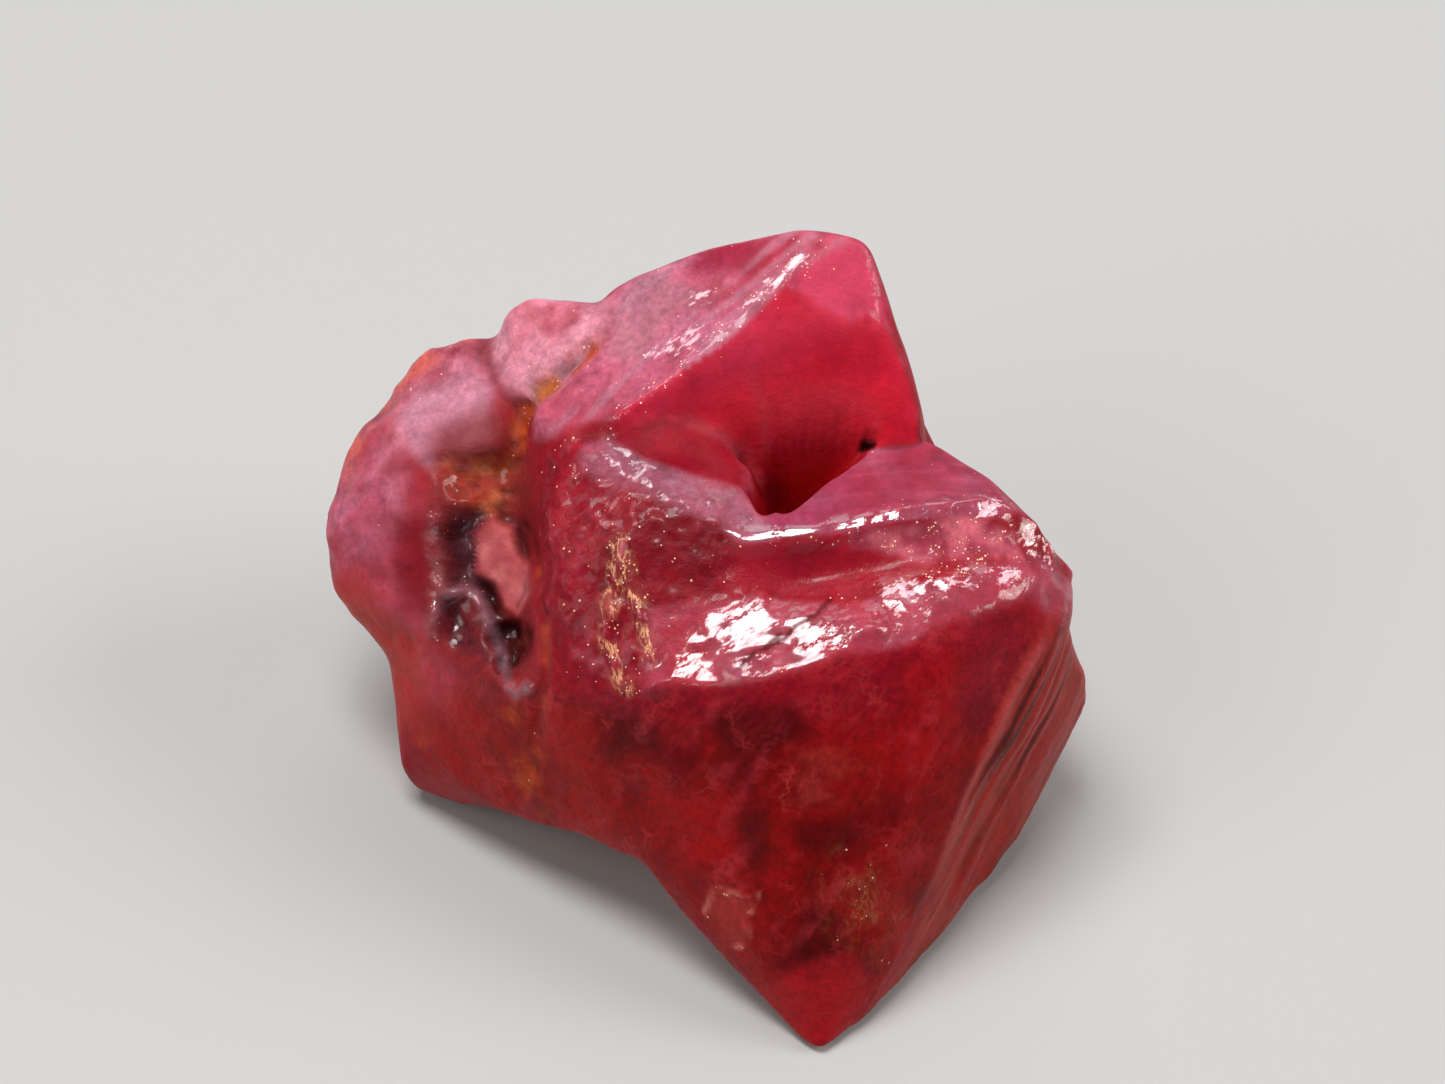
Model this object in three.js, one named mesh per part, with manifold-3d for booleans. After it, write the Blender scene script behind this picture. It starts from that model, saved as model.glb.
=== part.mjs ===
// A rough spinel crystal: one broken, water-worn lump that lies on a flat fracture face.
// Its form is a few flat-faced blocks grown and broken together: a wedge with a ledge along
// its top, an arm to the right, an upright upper block with a sloping top, a rounded lobe
// and a heel on the left, and a bulging back with stepped triangular growth layers and pits.
// Each block is the convex solid around its own corners. The blocks are joined into one
// solid, and then the cavity, the crevice and the hollow under the front edge are cut.
//
// Millimetres, +Z up. The origin is at the bottom centre of the crystal's box, the wedge's
// tip points to -Y, the arm to +X, and the flat resting face lies at Z = 0.

import * as THREE from 'three';
import { ConvexGeometry } from 'three/addons/geometries/ConvexGeometry.js';
import { mergeVertices } from 'three/addons/utils/BufferGeometryUtils.js';
import Module from 'manifold-3d';

const wasm = await Module();
wasm.setup();

// Driving dimensions.
const halfWidth = 17.0; // from the middle to the lobe on the left and the shoulder on the right
const halfDepth = 15.1; // from the middle to the wedge's tip and to the back
const peak = 24.0; // top of the upper block
const rim = 18.7; // low end of the upper block's top, and rim of the middle block
const lobeTop = 17.0; // top of the rounded lobe
const arm = 17.5; // crest of the arm
const ledge = 15.6; // ledge along the top of the wedge
const base = 0.0; // resting face
const pitSize = 1.7; // side of a triangular growth pit
const pitDepth = 0.55;
const layerHeight = 0.35; // height of one growth layer

// Turns a closed geometry into a solid that can be joined and cut.
function toSolid(geometry) {
  geometry.deleteAttribute('normal');
  geometry.deleteAttribute('uv');
  const merged = mergeVertices(geometry, 1e-4);
  const mesh = new wasm.Mesh({
    numProp: 3,
    vertProperties: new Float32Array(merged.attributes.position.array),
    triVerts: new Uint32Array(merged.index.array),
  });
  return new wasm.Manifold(mesh);
}

// Turns a solid back into a geometry with flat faces.
function toGeometry(solid) {
  const mesh = solid.getMesh();
  const geometry = new THREE.BufferGeometry();
  geometry.setAttribute('position', new THREE.BufferAttribute(mesh.vertProperties, 3));
  geometry.setIndex(new THREE.BufferAttribute(mesh.triVerts, 1));
  geometry.computeVertexNormals();
  return geometry;
}

// The convex solid around all the corners in the given lists.
function block(...lists) {
  const corners = lists.flat().map(([x, y, z]) => new THREE.Vector3(x, y, z));
  return toSolid(new ConvexGeometry(corners));
}

// Upper block: a slab whose top slopes down to the left, with a steep red front face.
const topEdge = [
  [5.8, 11.2, peak], [3.7, 9.3, peak - 0.6], [1.5, 7.4, peak - 1.6], [0.5, 5.9, peak - 2.2],
  [-1.9, 4.8, peak - 3.2], [-3.8, 4.0, peak - 4.2],
];
const topBack = [
  [4.2, 11.5, peak - 0.2], [0.7, 11.9, peak - 1.4], [-2.7, 11.3, peak - 2.6],
  [-4.2, 10.9, peak - 3.4],
];
const topLowEnd = [[-6.0, 4.4, rim], [-7.6, 5.9, rim - 0.5], [-5.6, 7.2, rim + 0.9]];
const rightEdge = [
  [7.0, 11.0, peak - 0.2], [7.8, 9.5, peak - 2.0], [8.7, 8.0, peak - 4.4],
  [9.4, 6.7, peak - 6.2], [9.2, 5.8, rim - 1.4], [9.7, 6.4, arm - 2.0],
];
const frontFace = [
  [5.8, 8.2, peak - 2.5], [7.6, 8.2, peak - 2.3], [2.3, 6.9, rim + 0.1], [2.6, 6.5, rim - 0.6],
  [2.8, 5.7, arm - 0.9], [6.9, 5.5, arm - 0.9],
];
const frontFoot = [[-3.6, 3.7, rim + 0.6], [-1.6, 4.5, rim + 0.3], [0.5, 4.9, rim - 0.5]];
const upperRoots = [
  [9.5, 11.4, 12.0], [9.4, 6.0, 11.0], [3.0, 4.0, 10.5], [6.6, 4.0, 10.5],
  [-7.4, 4.0, 12.0], [-7.9, 8.0, 12.0], [4.1, 12.6, 20.0], [-4.4, 12.2, 18.5],
];
const upperBlock = block(topEdge, topBack, topLowEnd, rightEdge, frontFace, frontFoot, upperRoots);

// Dome: a small bulge at the foot of the upper block's front face, left of the notch.
const domeTop = [
  [-4.1, 3.3, rim + 0.2], [-2.6, 3.9, rim + 0.4], [-0.5, 4.3, rim + 0.2], [1.4, 4.2, rim - 0.5],
];
const domeFront = [
  [2.3, 3.6, arm + 0.1], [2.3, 2.3, arm - 0.3], [1.8, 2.1, arm + 0.4], [-0.1, 2.3, arm + 0.8],
  [-1.7, 2.5, arm + 1.1],
];
const domeRoots = [[2.0, 3.4, 13.0], [2.1, 1.6, 13.0], [-2.9, 2.0, 13.0], [-2.9, 6.0, 13.0]];
const dome = block(domeTop, domeFront, domeRoots);

// Middle block: the broken face between the upper block, the ledge and the cavity.
const middleRim = [
  [-6.0, 4.4, rim], [-4.4, 3.2, rim + 0.2], [-1.7, 2.5, rim - 0.2], [1.8, 1.9, arm + 0.4],
  [2.5, 0.7, arm],
];
const middleBrow = [[-2.2, 1.6, rim - 0.2], [-0.1, 0.3, arm + 0.5], [1.8, -0.6, arm - 0.1]];
const middleLeft = [
  [-7.3, 2.9, rim - 0.9], [-6.9, 0.3, rim - 1.8], [-6.3, -1.6, ledge - 0.3],
  [-6.0, -4.5, ledge - 2.7],
];
const middleFront = [
  [-3.8, -1.3, ledge + 1.2], [-2.6, -5.8, ledge - 1.8], [-1.4, -4.6, ledge - 1.0],
  [0.5, -3.1, ledge], [3.2, -2.7, ledge + 0.3],
];
const middleRoots = [[-6.9, 5.0, 8.0], [3.1, 5.0, 9.0], [-5.9, -2.0, 8.0], [3.1, -2.0, 9.0]];
const middleBlock = block(middleRim, middleBrow, middleLeft, middleFront, middleRoots);

// Arm: the step above the ledge, running right and back from the notch.
const armCrest = [
  [1.8, -0.7, arm], [4.1, -0.7, arm + 0.2], [9.5, 0.6, arm + 0.4], [12.9, 1.0, arm - 0.2],
  [14.3, 1.4, arm - 1.5],
];
const armEnd = [
  [15.1, 1.1, arm - 2.9], [15.6, 0.8, arm - 4.1], [15.1, 1.5, 12.0], [14.4, -0.2, ledge],
  [14.7, -1.6, 13.0],
];
const armBack = [
  [12.1, 3.9, arm - 0.9], [9.8, 6.0, arm - 1.1], [7.1, 5.4, arm - 0.8], [4.3, 1.3, arm - 0.2],
  [3.4, 0.5, arm - 0.1], [2.4, 0.7, arm],
];
const armRoots = [[2.7, 1.9, 11.0], [5.7, 4.9, 11.0], [12.6, 5.0, 10.0], [3.1, -2.4, 13.6]];
const armBlock = block(armCrest, armEnd, armBack, armRoots);

// Wedge: the large lower block, from the ledge down to the tip at the front.
const tip = [
  [5.1, -halfDepth, 0.4], [4.2, -14.1, base], [2.2, -12.3, 0.8], [-0.1, -10.3, 2.4],
  [-2.5, -8.4, 5.2],
];
const ledgeFront = [
  [-2.6, -6.0, ledge - 2.0], [2.4, -6.6, ledge - 0.4], [6.3, -5.7, ledge], [10.7, -4.6, ledge],
  [14.9, -2.3, ledge - 1.6],
];
const ledgeBack = [
  [-1.5, -4.6, ledge - 1.0], [0.5, -3.3, ledge + 0.2], [3.7, -2.8, ledge + 0.4],
  [6.1, -3.3, ledge + 0.6], [8.2, -2.3, ledge + 1.0], [10.7, -1.8, ledge + 1.2],
  [14.4, -0.3, ledge + 0.6],
];
const sideEdge = [
  [12.6, -4.5, 11.5], [11.1, -6.0, 9.3], [10.5, -7.9, 7.0], [9.5, -9.8, 4.6], [7.6, -12.4, 2.0],
];
const shoulder = [
  [halfWidth, -0.3, 6.5], [15.4, 0.2, 11.5], [15.6, -2.2, 3.2], [13.6, -4.8, 1.2],
  [10.3, -8.9, 0.4], [7.6, -12.4, 0.2],
];
const wedgeRoots = [
  [-2.9, 8.0, base], [9.1, 8.0, base], [13.6, 2.5, base], [12.6, 8.0, 10.5],
  [-3.9, 8.0, 11.0], [-3.9, 1.0, 4.0],
];
const wedge = block(tip, ledgeFront, ledgeBack, sideEdge, shoulder, wedgeRoots);

// Lobe: the rounded, frosted lump on the left.
const lobeBrow = [
  [-10.3, 11.9, lobeTop], [-12.6, 12.1, lobeTop - 1.2], [-14.6, 10.5, lobeTop - 2.8],
  [-15.9, 9.2, lobeTop - 4.0], [-halfWidth, 6.6, lobeTop - 6.0], [-16.6, 4.3, 8.5],
  [-14.1, 2.2, 7.0], [-13.3, 1.1, 6.8],
];
const lobeFace = [
  [-9.7, 6.4, lobeTop + 0.2], [-8.7, 4.9, lobeTop - 0.1], [-12.7, 7.4, lobeTop - 0.8],
  [-14.4, 5.9, lobeTop - 2.4], [-11.7, 4.5, lobeTop - 1.5], [-10.6, 3.0, lobeTop - 1.2],
  [-15.4, 4.6, lobeTop - 4.2], [-11.3, 1.8, 13.3], [-15.0, 3.1, 10.6], [-12.0, 0.2, 10.6],
];
const lobeRoots = [
  [-6.9, 11.0, lobeTop - 0.4], [-5.9, 5.0, 8.0], [-13.1, 3.6, 3.4], [-13.4, 10.0, 5.0],
  [-6.9, 12.0, 8.0],
];
const lobe = block(lobeBrow, lobeFace, lobeRoots);

// Heel: the steep dull face below the lobe, which ends in the left foot.
const heelEdge = [[-13.5, -1.0, 2.2], [-13.5, 0.4, 4.2], [-13.3, 1.3, 6.2], [-14.1, 2.2, 7.0]];
const heelFace = [
  [-12.9, -0.7, 0.4], [-8.1, -3.2, 2.6], [-2.5, -8.4, 5.2], [-2.6, -6.0, 13.4],
  [-6.3, -1.6, 14.9], [-6.6, -4.3, 12.6], [-8.6, -3.4, 10.9], [-11.8, 0.6, 10.7],
];
const heelRoots = [
  [-12.5, 3.0, base], [-7.9, 9.0, base], [-2.9, 7.0, base], [-5.9, 5.0, 12.0],
  [-1.9, -3.0, 6.0], [-1.4, -7.4, 5.8], [-1.4, -5.4, 13.0],
];
const heel = block(heelEdge, heelFace, heelRoots);

// Knob: the small lump behind the crevice, between the lobe and the upper block.
const knobTop = [
  [-4.9, 11.1, 20.2], [-6.0, 11.4, 19.8], [-7.6, 12.0, 19.0], [-9.0, 11.6, 18.0],
  [-5.2, 9.8, 19.6], [-6.7, 8.3, 18.9], [-8.4, 9.9, 18.3], [-8.8, 7.9, 17.8],
];
const knobRoots = [[-4.9, 11.6, 12.0], [-8.9, 11.6, 12.0], [-6.9, 7.0, 13.0]];
const knob = block(knobTop, knobRoots);

// Back: a blunt bulge with a broad octahedral face that slopes from the top to its middle.
const backTopLeft = [-3.4, 12.4, 18.6];
const backTopRight = [8.1, 11.5, 15.5];
const backMiddle = [3.5, halfDepth, 9.2];
const backRim = [[-8.9, 12.0, 15.8], [-13.2, 11.0, 12.0], [12.4, 6.5, 10.5]];
const backBelt = [
  [9.7, 12.0, 7.5], [1.6, halfDepth, 8.0], [-5.9, 14.4, 8.5], [-11.9, 11.4, 5.0],
  [6.1, 12.8, 3.0], [12.7, 5.5, 2.0],
];
const backRoots = [
  [-7.9, 10.0, base], [-1.9, 11.4, base], [8.1, 9.4, base], [0.1, 1.0, 6.0],
  [-10.4, 4.0, 2.0], [12.1, 0.0, 3.0],
];
const back = block([backTopLeft, backTopRight, backMiddle], backRim, backBelt, backRoots);

// Core: the sound heart of the crystal, which all the blocks grow from.
const coreCorners = [
  [-11.0, 6.0, 4.0], [-11.0, 7.5, 13.0], [-6.5, 4.0, 14.5], [-7.0, 10.0, 16.5], [-9.5, 1.5, 7.0],
  [8.5, 8.0, 15.0], [3.0, 9.0, 18.0], [4.0, 0.0, 13.0], [11.5, 2.5, 13.0], [11.5, 2.0, 3.0],
  [6.0, -5.0, 9.0], [-4.0, -3.5, 10.5], [0.0, -2.0, 3.0], [8.0, 9.0, 3.0], [-6.0, 10.0, 3.0],
];
const core = block(coreCorners);

// Growth layers: thin triangular steps on the back's broad face, each on the one before.
// A point on the face is its first corner plus shares of the way to the other two.
const faceCorner = new THREE.Vector3(...backTopLeft);
const faceAlong = new THREE.Vector3(...backTopRight).sub(faceCorner);
const faceDown = new THREE.Vector3(...backMiddle).sub(faceCorner);
const faceOut = new THREE.Vector3().crossVectors(faceDown, faceAlong).normalize();
if (faceOut.y < 0) faceOut.negate();
const alongUnit = faceAlong.clone().normalize();
const acrossUnit = new THREE.Vector3().crossVectors(faceOut, alongUnit);

function onFace(along, down, lift) {
  const point = faceCorner.clone().addScaledVector(faceAlong, along);
  return point.addScaledVector(faceDown, down).addScaledVector(faceOut, lift);
}

// The three corners of an equal-sided triangle in the face's plane.
function triangle(centre, side, turn) {
  const corners = [];
  for (let i = 0; i < 3; i += 1) {
    const angle = turn + (i * 2 * Math.PI) / 3;
    const corner = centre.clone().addScaledVector(alongUnit, (side / Math.sqrt(3)) * Math.cos(angle));
    corner.addScaledVector(acrossUnit, (side / Math.sqrt(3)) * Math.sin(angle));
    corners.push(corner.toArray());
  }
  return corners;
}

const layerTurn = 0.35;
const layers = [
  { along: 0.40, down: 0.42, side: 8.6 },
  { along: 0.36, down: 0.44, side: 5.6 },
  { along: 0.34, down: 0.42, side: 2.8 },
].map(({ along, down, side }, step) => block(
  triangle(onFace(along, down, -1.5), side + 0.6, layerTurn),
  triangle(onFace(along, down, layerHeight * (step + 1)), side, layerTurn),
));

const blocks = [core, upperBlock, dome, middleBlock, armBlock, wedge, lobe, heel, knob, back, ...layers];
let crystal = blocks.reduce((joined, next) => joined.add(next));

// Hollow under the front edge, which arches from the left foot to the tip.
const archEdge = [
  [-12.3, -1.4, base], [-8.9, -4.0, 3.2], [-5.9, -6.6, 4.6], [-2.9, -9.0, 4.9],
  [0.1, -11.5, 2.8], [4.1, -15.4, base],
];
const archInside = [[-9.9, 3.0, -0.8], [-2.9, -4.6, 4.4], [5.1, -10.0, -1.0]];
const archOutside = [[-11.9, -9.0, -1.0], [-3.9, -17.0, -1.0]];
const arch = block(archEdge, archInside, archOutside);

// Notch: the funnel between the upper block, the dome and the arm.
const notchMouth = [
  [2.5, 5.7, arm - 0.1], [2.4, 2.0, arm + 0.9], [3.3, 0.6, arm + 0.6], [7.4, 5.5, arm - 0.3],
];
const notchFloor = [[3.6, 3.9, 10.8], [4.3, 4.1, 10.8]];
const notch = block(notchMouth, notchFloor);

// Cavity: the long pit between the lobe and the middle block, and the small one below it.
const cavityMouth = [
  [-9.1, 2.0, 18.5], [-7.8, 1.8, 18.5], [-7.1, -1.0, 16.5], [-6.7, -3.6, 14.4],
  [-6.8, -4.6, 12.6], [-8.0, -4.6, 12.3], [-9.4, -1.9, 15.0], [-10.6, -0.1, 15.5],
  [-10.7, 1.1, 17.0],
];
const cavityFloor = [[-9.2, 4.8, 13.4], [-9.2, 2.5, 11.9], [-8.1, -0.2, 9.7]];
const cavity = block(cavityMouth, cavityFloor);
const hollowMouth = [
  [-10.9, -0.9, 13.8], [-9.5, -1.0, 13.8], [-9.1, -2.3, 12.2], [-11.0, -2.1, 11.6],
];
const hollowFloor = [[-10.3, 1.6, 8.8]];
const hollow = block(hollowMouth, hollowFloor);

// Crevice: the narrow groove in front of the knob.
const creviceMouth = [
  [-3.9, 9.4, 21.5], [-4.8, 7.2, 21.0], [-6.6, 4.6, 19.8], [-8.6, 5.6, 19.2], [-6.1, 7.3, 20.0],
];
const creviceFloor = [[-4.4, 10.0, 19.6], [-6.8, 8.4, 17.2], [-7.5, 8.3, 16.6]];
const crevice = block(creviceMouth, creviceFloor);

for (const hole of [arch, notch, cavity, hollow, crevice]) {
  crystal = crystal.subtract(hole);
}

// Growth pits: small triangular hollows that sink to a point, turned against the layers.
const pits = [
  { along: 0.10, down: 0.22, size: 1.0 }, { along: 0.72, down: 0.16, size: 1.2 },
  { along: 0.14, down: 0.66, size: 0.8 }, { along: 0.62, down: 0.52, size: 0.7 },
  { along: 0.86, down: 0.30, size: 0.8 }, { along: -0.06, down: 0.50, size: 1.1 },
].map(({ along, down, size }) => block(
  triangle(onFace(along, down, 0.6), pitSize * size * 1.5, layerTurn + Math.PI),
  [onFace(along, down, -pitDepth * size).toArray()],
));
for (const pit of pits) {
  crystal = crystal.subtract(pit);
}

// Nothing reaches below the resting face.
const below = new THREE.BoxGeometry(4 * halfWidth, 4 * halfDepth, 10);
below.translate(0, 0, base - 5);
crystal = crystal.subtract(toSolid(below));

const spinelCrystal = new THREE.Mesh(
  toGeometry(crystal),
  new THREE.MeshStandardMaterial({ color: 0xa3233f, roughness: 0.35, metalness: 0.0 }),
);
spinelCrystal.name = 'spinel_crystal';

const part = new THREE.Group();
part.add(spinelCrystal);
export default part;
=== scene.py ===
import math

import bpy
import numpy as np
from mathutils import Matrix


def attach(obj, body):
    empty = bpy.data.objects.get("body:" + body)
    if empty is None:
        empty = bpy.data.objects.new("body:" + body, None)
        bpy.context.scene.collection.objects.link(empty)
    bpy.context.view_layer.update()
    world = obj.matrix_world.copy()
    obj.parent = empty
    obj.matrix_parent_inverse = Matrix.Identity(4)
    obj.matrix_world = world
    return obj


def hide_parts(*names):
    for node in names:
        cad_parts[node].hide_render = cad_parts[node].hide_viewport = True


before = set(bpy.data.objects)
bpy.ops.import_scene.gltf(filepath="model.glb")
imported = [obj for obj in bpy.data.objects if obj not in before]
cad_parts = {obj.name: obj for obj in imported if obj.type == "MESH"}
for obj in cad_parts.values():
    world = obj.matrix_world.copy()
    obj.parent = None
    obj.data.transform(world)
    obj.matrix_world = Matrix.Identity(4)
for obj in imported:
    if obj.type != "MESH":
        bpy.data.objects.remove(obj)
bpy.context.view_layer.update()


# Crystal. One broken, water-worn lump of red spinel with no other piece. It grew as
# flat-faced blocks, broke, and was tumbled in gravel, so its faces are glassy, its breaks
# are scalloped, its high places are frosted and its cracks hold rust.

MM = 0.001
HEART = np.array([3.1, 3.4, 6.8])  # a point deep inside that sees nearly the whole surface
GRID_STEPS = 128  # cells along a side of the cube that the surface is laid out on
DENSER_TOWARDS = np.array([-0.05, -0.24, 0.2])  # the grid is finer on the broken front and top
FRONT_ABOVE = np.array([0, -0.669, 0.743])  # the way that the broken places face
SEEN_UP = np.array([0, 0.743, 0.669])  # up the stone, square to that
FAR_AWAY = 400  # from here the rays to the stone are nearly parallel


def cube_sphere(steps, pull):
    """Directions all round a point, and the quads that join them.

    A cube's six sides each carry a grid of steps x steps cells, spaced by equal angles. A
    direction is a grid point on the cube plus pull, brought to length 1, so the grid is
    finer where pull points. Grid points that two or three sides share are one point."""
    side = np.arange(steps + 1)
    across, up = np.meshgrid(side, side, indexing="ij")
    flat = np.zeros_like(across)
    places = []
    for axis in range(3):
        for end in (0, steps):
            place = [across, up]
            place.insert(axis, flat + end)
            places.append(np.stack(place, -1))
    places = np.stack(places)
    width = steps + 1
    key = (places[..., 0] * width + places[..., 1]) * width + places[..., 2]
    _, first, index = np.unique(key, return_index=True, return_inverse=True)
    index = index.reshape(key.shape)
    cube = np.tan((places.reshape(-1, 3)[first] / steps - 0.5) * math.pi / 2)
    directions = cube / np.linalg.norm(cube, axis=1, keepdims=True) + pull
    directions /= np.linalg.norm(directions, axis=1, keepdims=True)
    quads = np.stack([index[:, :-1, :-1], index[:, 1:, :-1], index[:, 1:, 1:], index[:, :-1, 1:]], -1)
    quads = quads.reshape(-1, 4)
    a, b, c = (cube[quads[:, i]] for i in range(3))
    inward = np.einsum("ij,ij->i", np.cross(b - a, c - b), a) < 0
    quads[inward] = quads[inward][:, ::-1]
    return directions, quads


def reach(directions, heart, corners):
    """How far the solid reaches from heart along each direction.

    A ray crosses a triangle if it lies on the same side of the three planes through the
    heart and the triangle's edges. It meets the triangle's plane at the plane's distance
    over the ray's share of its normal. The furthest crossing counts."""
    a, b, c = (corners[:, i] - heart for i in range(3))
    edge_planes = [np.cross(a, b), np.cross(b, c), np.cross(c, a)]
    normal = np.cross(b - a, c - a)
    distance = np.einsum("ij,ij->i", normal, a)
    furthest = np.zeros(len(directions))
    batch = 4096
    for start in range(0, len(directions), batch):
        rays = directions[start:start + batch]
        sides = [rays @ plane.T >= -1e-7 for plane in edge_planes]
        met = sides[0] & sides[1] & sides[2]
        share = rays @ normal.T
        crossing = np.divide(distance, share, out=np.zeros_like(share), where=met & (share > 1e-9))
        furthest[start:start + batch] = crossing.max(axis=1)
    return furthest


def neighbours_of(quads, count):
    """Each point's four neighbours along the quads' edges; a cube corner's own index fills in."""
    start = np.concatenate([quads, np.roll(quads, 1, axis=1)], 1).ravel()
    end = np.concatenate([np.roll(quads, -1, axis=1), quads], 1).ravel()
    pairs = np.unique(np.stack([np.minimum(start, end), np.maximum(start, end)], 1), axis=0)
    pairs = np.concatenate([pairs, pairs[:, ::-1]])
    pairs = pairs[np.argsort(pairs[:, 0], kind="stable")]
    first = np.searchsorted(pairs[:, 0], np.arange(count))
    slot = np.arange(len(pairs)) - first[pairs[:, 0]]
    table = np.repeat(np.arange(count)[:, None], 4, axis=1)
    table[pairs[:, 0], slot] = pairs[:, 1]
    return table


def relax(values, neighbours, amount, rounds):
    """Moves each value by amount towards the mean of its neighbours, rounds times."""
    for _ in range(rounds):
        values = values + amount * (values[neighbours].mean(axis=1) - values)
    return values


def normals_of(points, quads, count):
    """Unit normals: at each point, the sum of the cross products of its quads' diagonals."""
    cross = np.cross(points[quads[:, 2]] - points[quads[:, 0]], points[quads[:, 3]] - points[quads[:, 1]])
    total = np.stack([
        np.bincount(quads.ravel(), np.repeat(cross[:, i], 4), count) for i in range(3)
    ], 1)
    return total / np.linalg.norm(total, axis=1, keepdims=True)


def scatter(cells, seed):
    """A fixed pseudo-random number from 0 to 1 for each whole-number cell: its three numbers
    times large odd factors, with their bits mixed twice."""
    mixed = cells.astype(np.int64).astype(np.uint32)
    value = mixed[..., 0] * np.uint32(73856093)
    value ^= mixed[..., 1] * np.uint32(19349663)
    value ^= mixed[..., 2] * np.uint32(83492791)
    value ^= np.uint32(seed * 2654435 % 4294967295)
    for _ in range(2):
        value ^= value >> np.uint32(15)
        value *= np.uint32(2246822519)
        value ^= value >> np.uint32(13)
    return value.astype(np.float64) / 4294967295.0


def lumps(points, size, seed):
    """Smooth noise from -1 to 1 with lumps about size wide.

    Random numbers sit on the corners of cubes size wide, and a point takes the mix of its
    cube's eight corners, weighted by the smooth step of its place along each side."""
    place = points / size + 37.3 * seed
    cell = np.floor(place)
    step = place - cell
    step = step * step * (3 - 2 * step)
    total = np.zeros(len(points))
    for corner in np.ndindex(2, 2, 2):
        weight = np.prod(np.where(np.array(corner) == 1, step, 1 - step), axis=1)
        total += weight * scatter(cell + corner, seed)
    return 2 * total - 1


def layered(points, size, seed, layers=3):
    """Lumps at size, with finer and weaker lumps on them: each layer half as wide and half as high."""
    total = np.zeros(len(points))
    for layer in range(layers):
        total += lumps(points, size / 2 ** layer, seed + layer) / 2 ** layer
    return total / (2 - 2.0 ** (1 - layers))


def scallops(points, size, seed):
    """Shell-like hollows about size wide with sharp rims: -0.4 in a hollow, about 0.6 on a rim.

    One hollow's centre lies at random in each cube size wide. The height is the square of
    the distance to the nearest centre, less 0.4, which is about its mean."""
    place = points / size + 17.9 * seed
    cell = np.floor(place)
    nearest = np.full(len(points), 9.0)
    for offset in np.ndindex(3, 3, 3):
        cube = cell + (np.array(offset) - 1)
        centre = cube + np.stack([scatter(cube, seed + axis) for axis in range(3)], 1)
        nearest = np.minimum(nearest, np.square(place - centre).sum(axis=1))
    return nearest - 0.4


def spot(points, centre, radii):
    """1 at centre, falling smoothly to 0 on the ellipsoid with those radii."""
    distance = np.square((points - np.array(centre)) / np.array(radii)).sum(axis=1)
    return np.square(np.clip(1 - distance, 0, 1))


def along(points, route, width):
    """1 on the line through the places of route, falling smoothly to 0 at width from it."""
    nearest = np.full(len(points), 1e9)
    for start, end in zip(np.array(route)[:-1], np.array(route)[1:]):
        step = end - start
        share = np.clip((points - start) @ step / (step @ step), 0, 1)
        nearest = np.minimum(nearest, np.square(points - start - share[:, None] * step).sum(axis=1))
    return np.square(np.clip(1 - nearest / width ** 2, 0, 1))


def smooth(x):
    """The smooth step: x held between 0 and 1, then three times its square less twice its cube."""
    x = np.clip(x, 0, 1)
    return x * x * (3 - 2 * x)


def most(*covers):
    """The greatest of several covers at each place."""
    return np.maximum.reduce(covers)


def way(azimuth, dip):
    """The direction that faces azimuth and dip. Azimuth 0 is the front and 90 the right; dip 0 is up."""
    turn, tilt = math.radians(azimuth), math.radians(dip)
    return np.array([math.sin(turn) * math.sin(tilt), -math.cos(turn) * math.sin(tilt), math.cos(tilt)])


def facing(normals, azimuth, dip, spread):
    """1 where the surface faces that way, falling smoothly to 0 where it turns spread degrees away."""
    limit = math.cos(math.radians(spread))
    return smooth((normals @ way(azimuth, dip) - limit) / (1 - limit))


def streaks(points, direction, length, width, seed):
    """Lumps drawn out along a direction: length long, width across. The place along it is shrunk
    by width / length before the lumps are looked up."""
    direction = np.array(direction) / np.linalg.norm(direction)
    share = points @ direction
    return lumps(points + np.outer(share * (width / length - 1), direction), width, seed)


def face_on(points):
    """Places as seen from the front and above: across, then up the stone."""
    return np.stack([points[:, 0], points @ SEEN_UP], 1)


def inside(points, outline, blur):
    """1 inside an outline drawn on the stone as seen from the front and above, 0 outside it.

    A point is inside where a level line from it crosses the outline's sides an odd number of
    times. Its distance to the nearest side sets the border, which is blur wide."""
    seen = face_on(points)
    corners = np.array(outline, float)
    nearest = np.full(len(points), 1e9)
    odd = np.zeros(len(points), bool)
    for start, end in zip(corners, np.roll(corners, -1, axis=0)):
        step = end - start
        away = seen - start
        share = np.clip(away @ step / (step @ step), 0, 1)
        nearest = np.minimum(nearest, np.linalg.norm(away - share[:, None] * step, axis=1))
        spans = (start[1] > seen[:, 1]) != (end[1] > seen[:, 1])
        odd ^= spans & (away[:, 0] * abs(step[1]) < away[:, 1] * step[0] * np.sign(step[1]))
    return smooth(0.5 + np.where(odd, nearest, -nearest) / blur)


def flattened(points, cover, middle, faced, limit):
    """Moves points by cover towards the plane through middle that faces that way. They move
    along the sight line from the front and above, by at most limit."""
    gap = (np.array(middle) - points) @ faced / (FRONT_ABOVE @ faced)
    return points + (cover * np.clip(gap, -limit, limit))[:, None] * FRONT_ABOVE


def level(across, route):
    """Where a route stands at each place across: its places' second numbers, joined by straight lines."""
    places = np.array(route)
    return np.interp(across, places[:, 0], places[:, 1])


def ragged(points, amount, size, seed):
    """Points moved by up to amount each way, by three noises with lumps about size wide."""
    return points + amount * np.stack([layered(points, size, seed + axis, 3) for axis in range(3)], 1)


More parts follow.
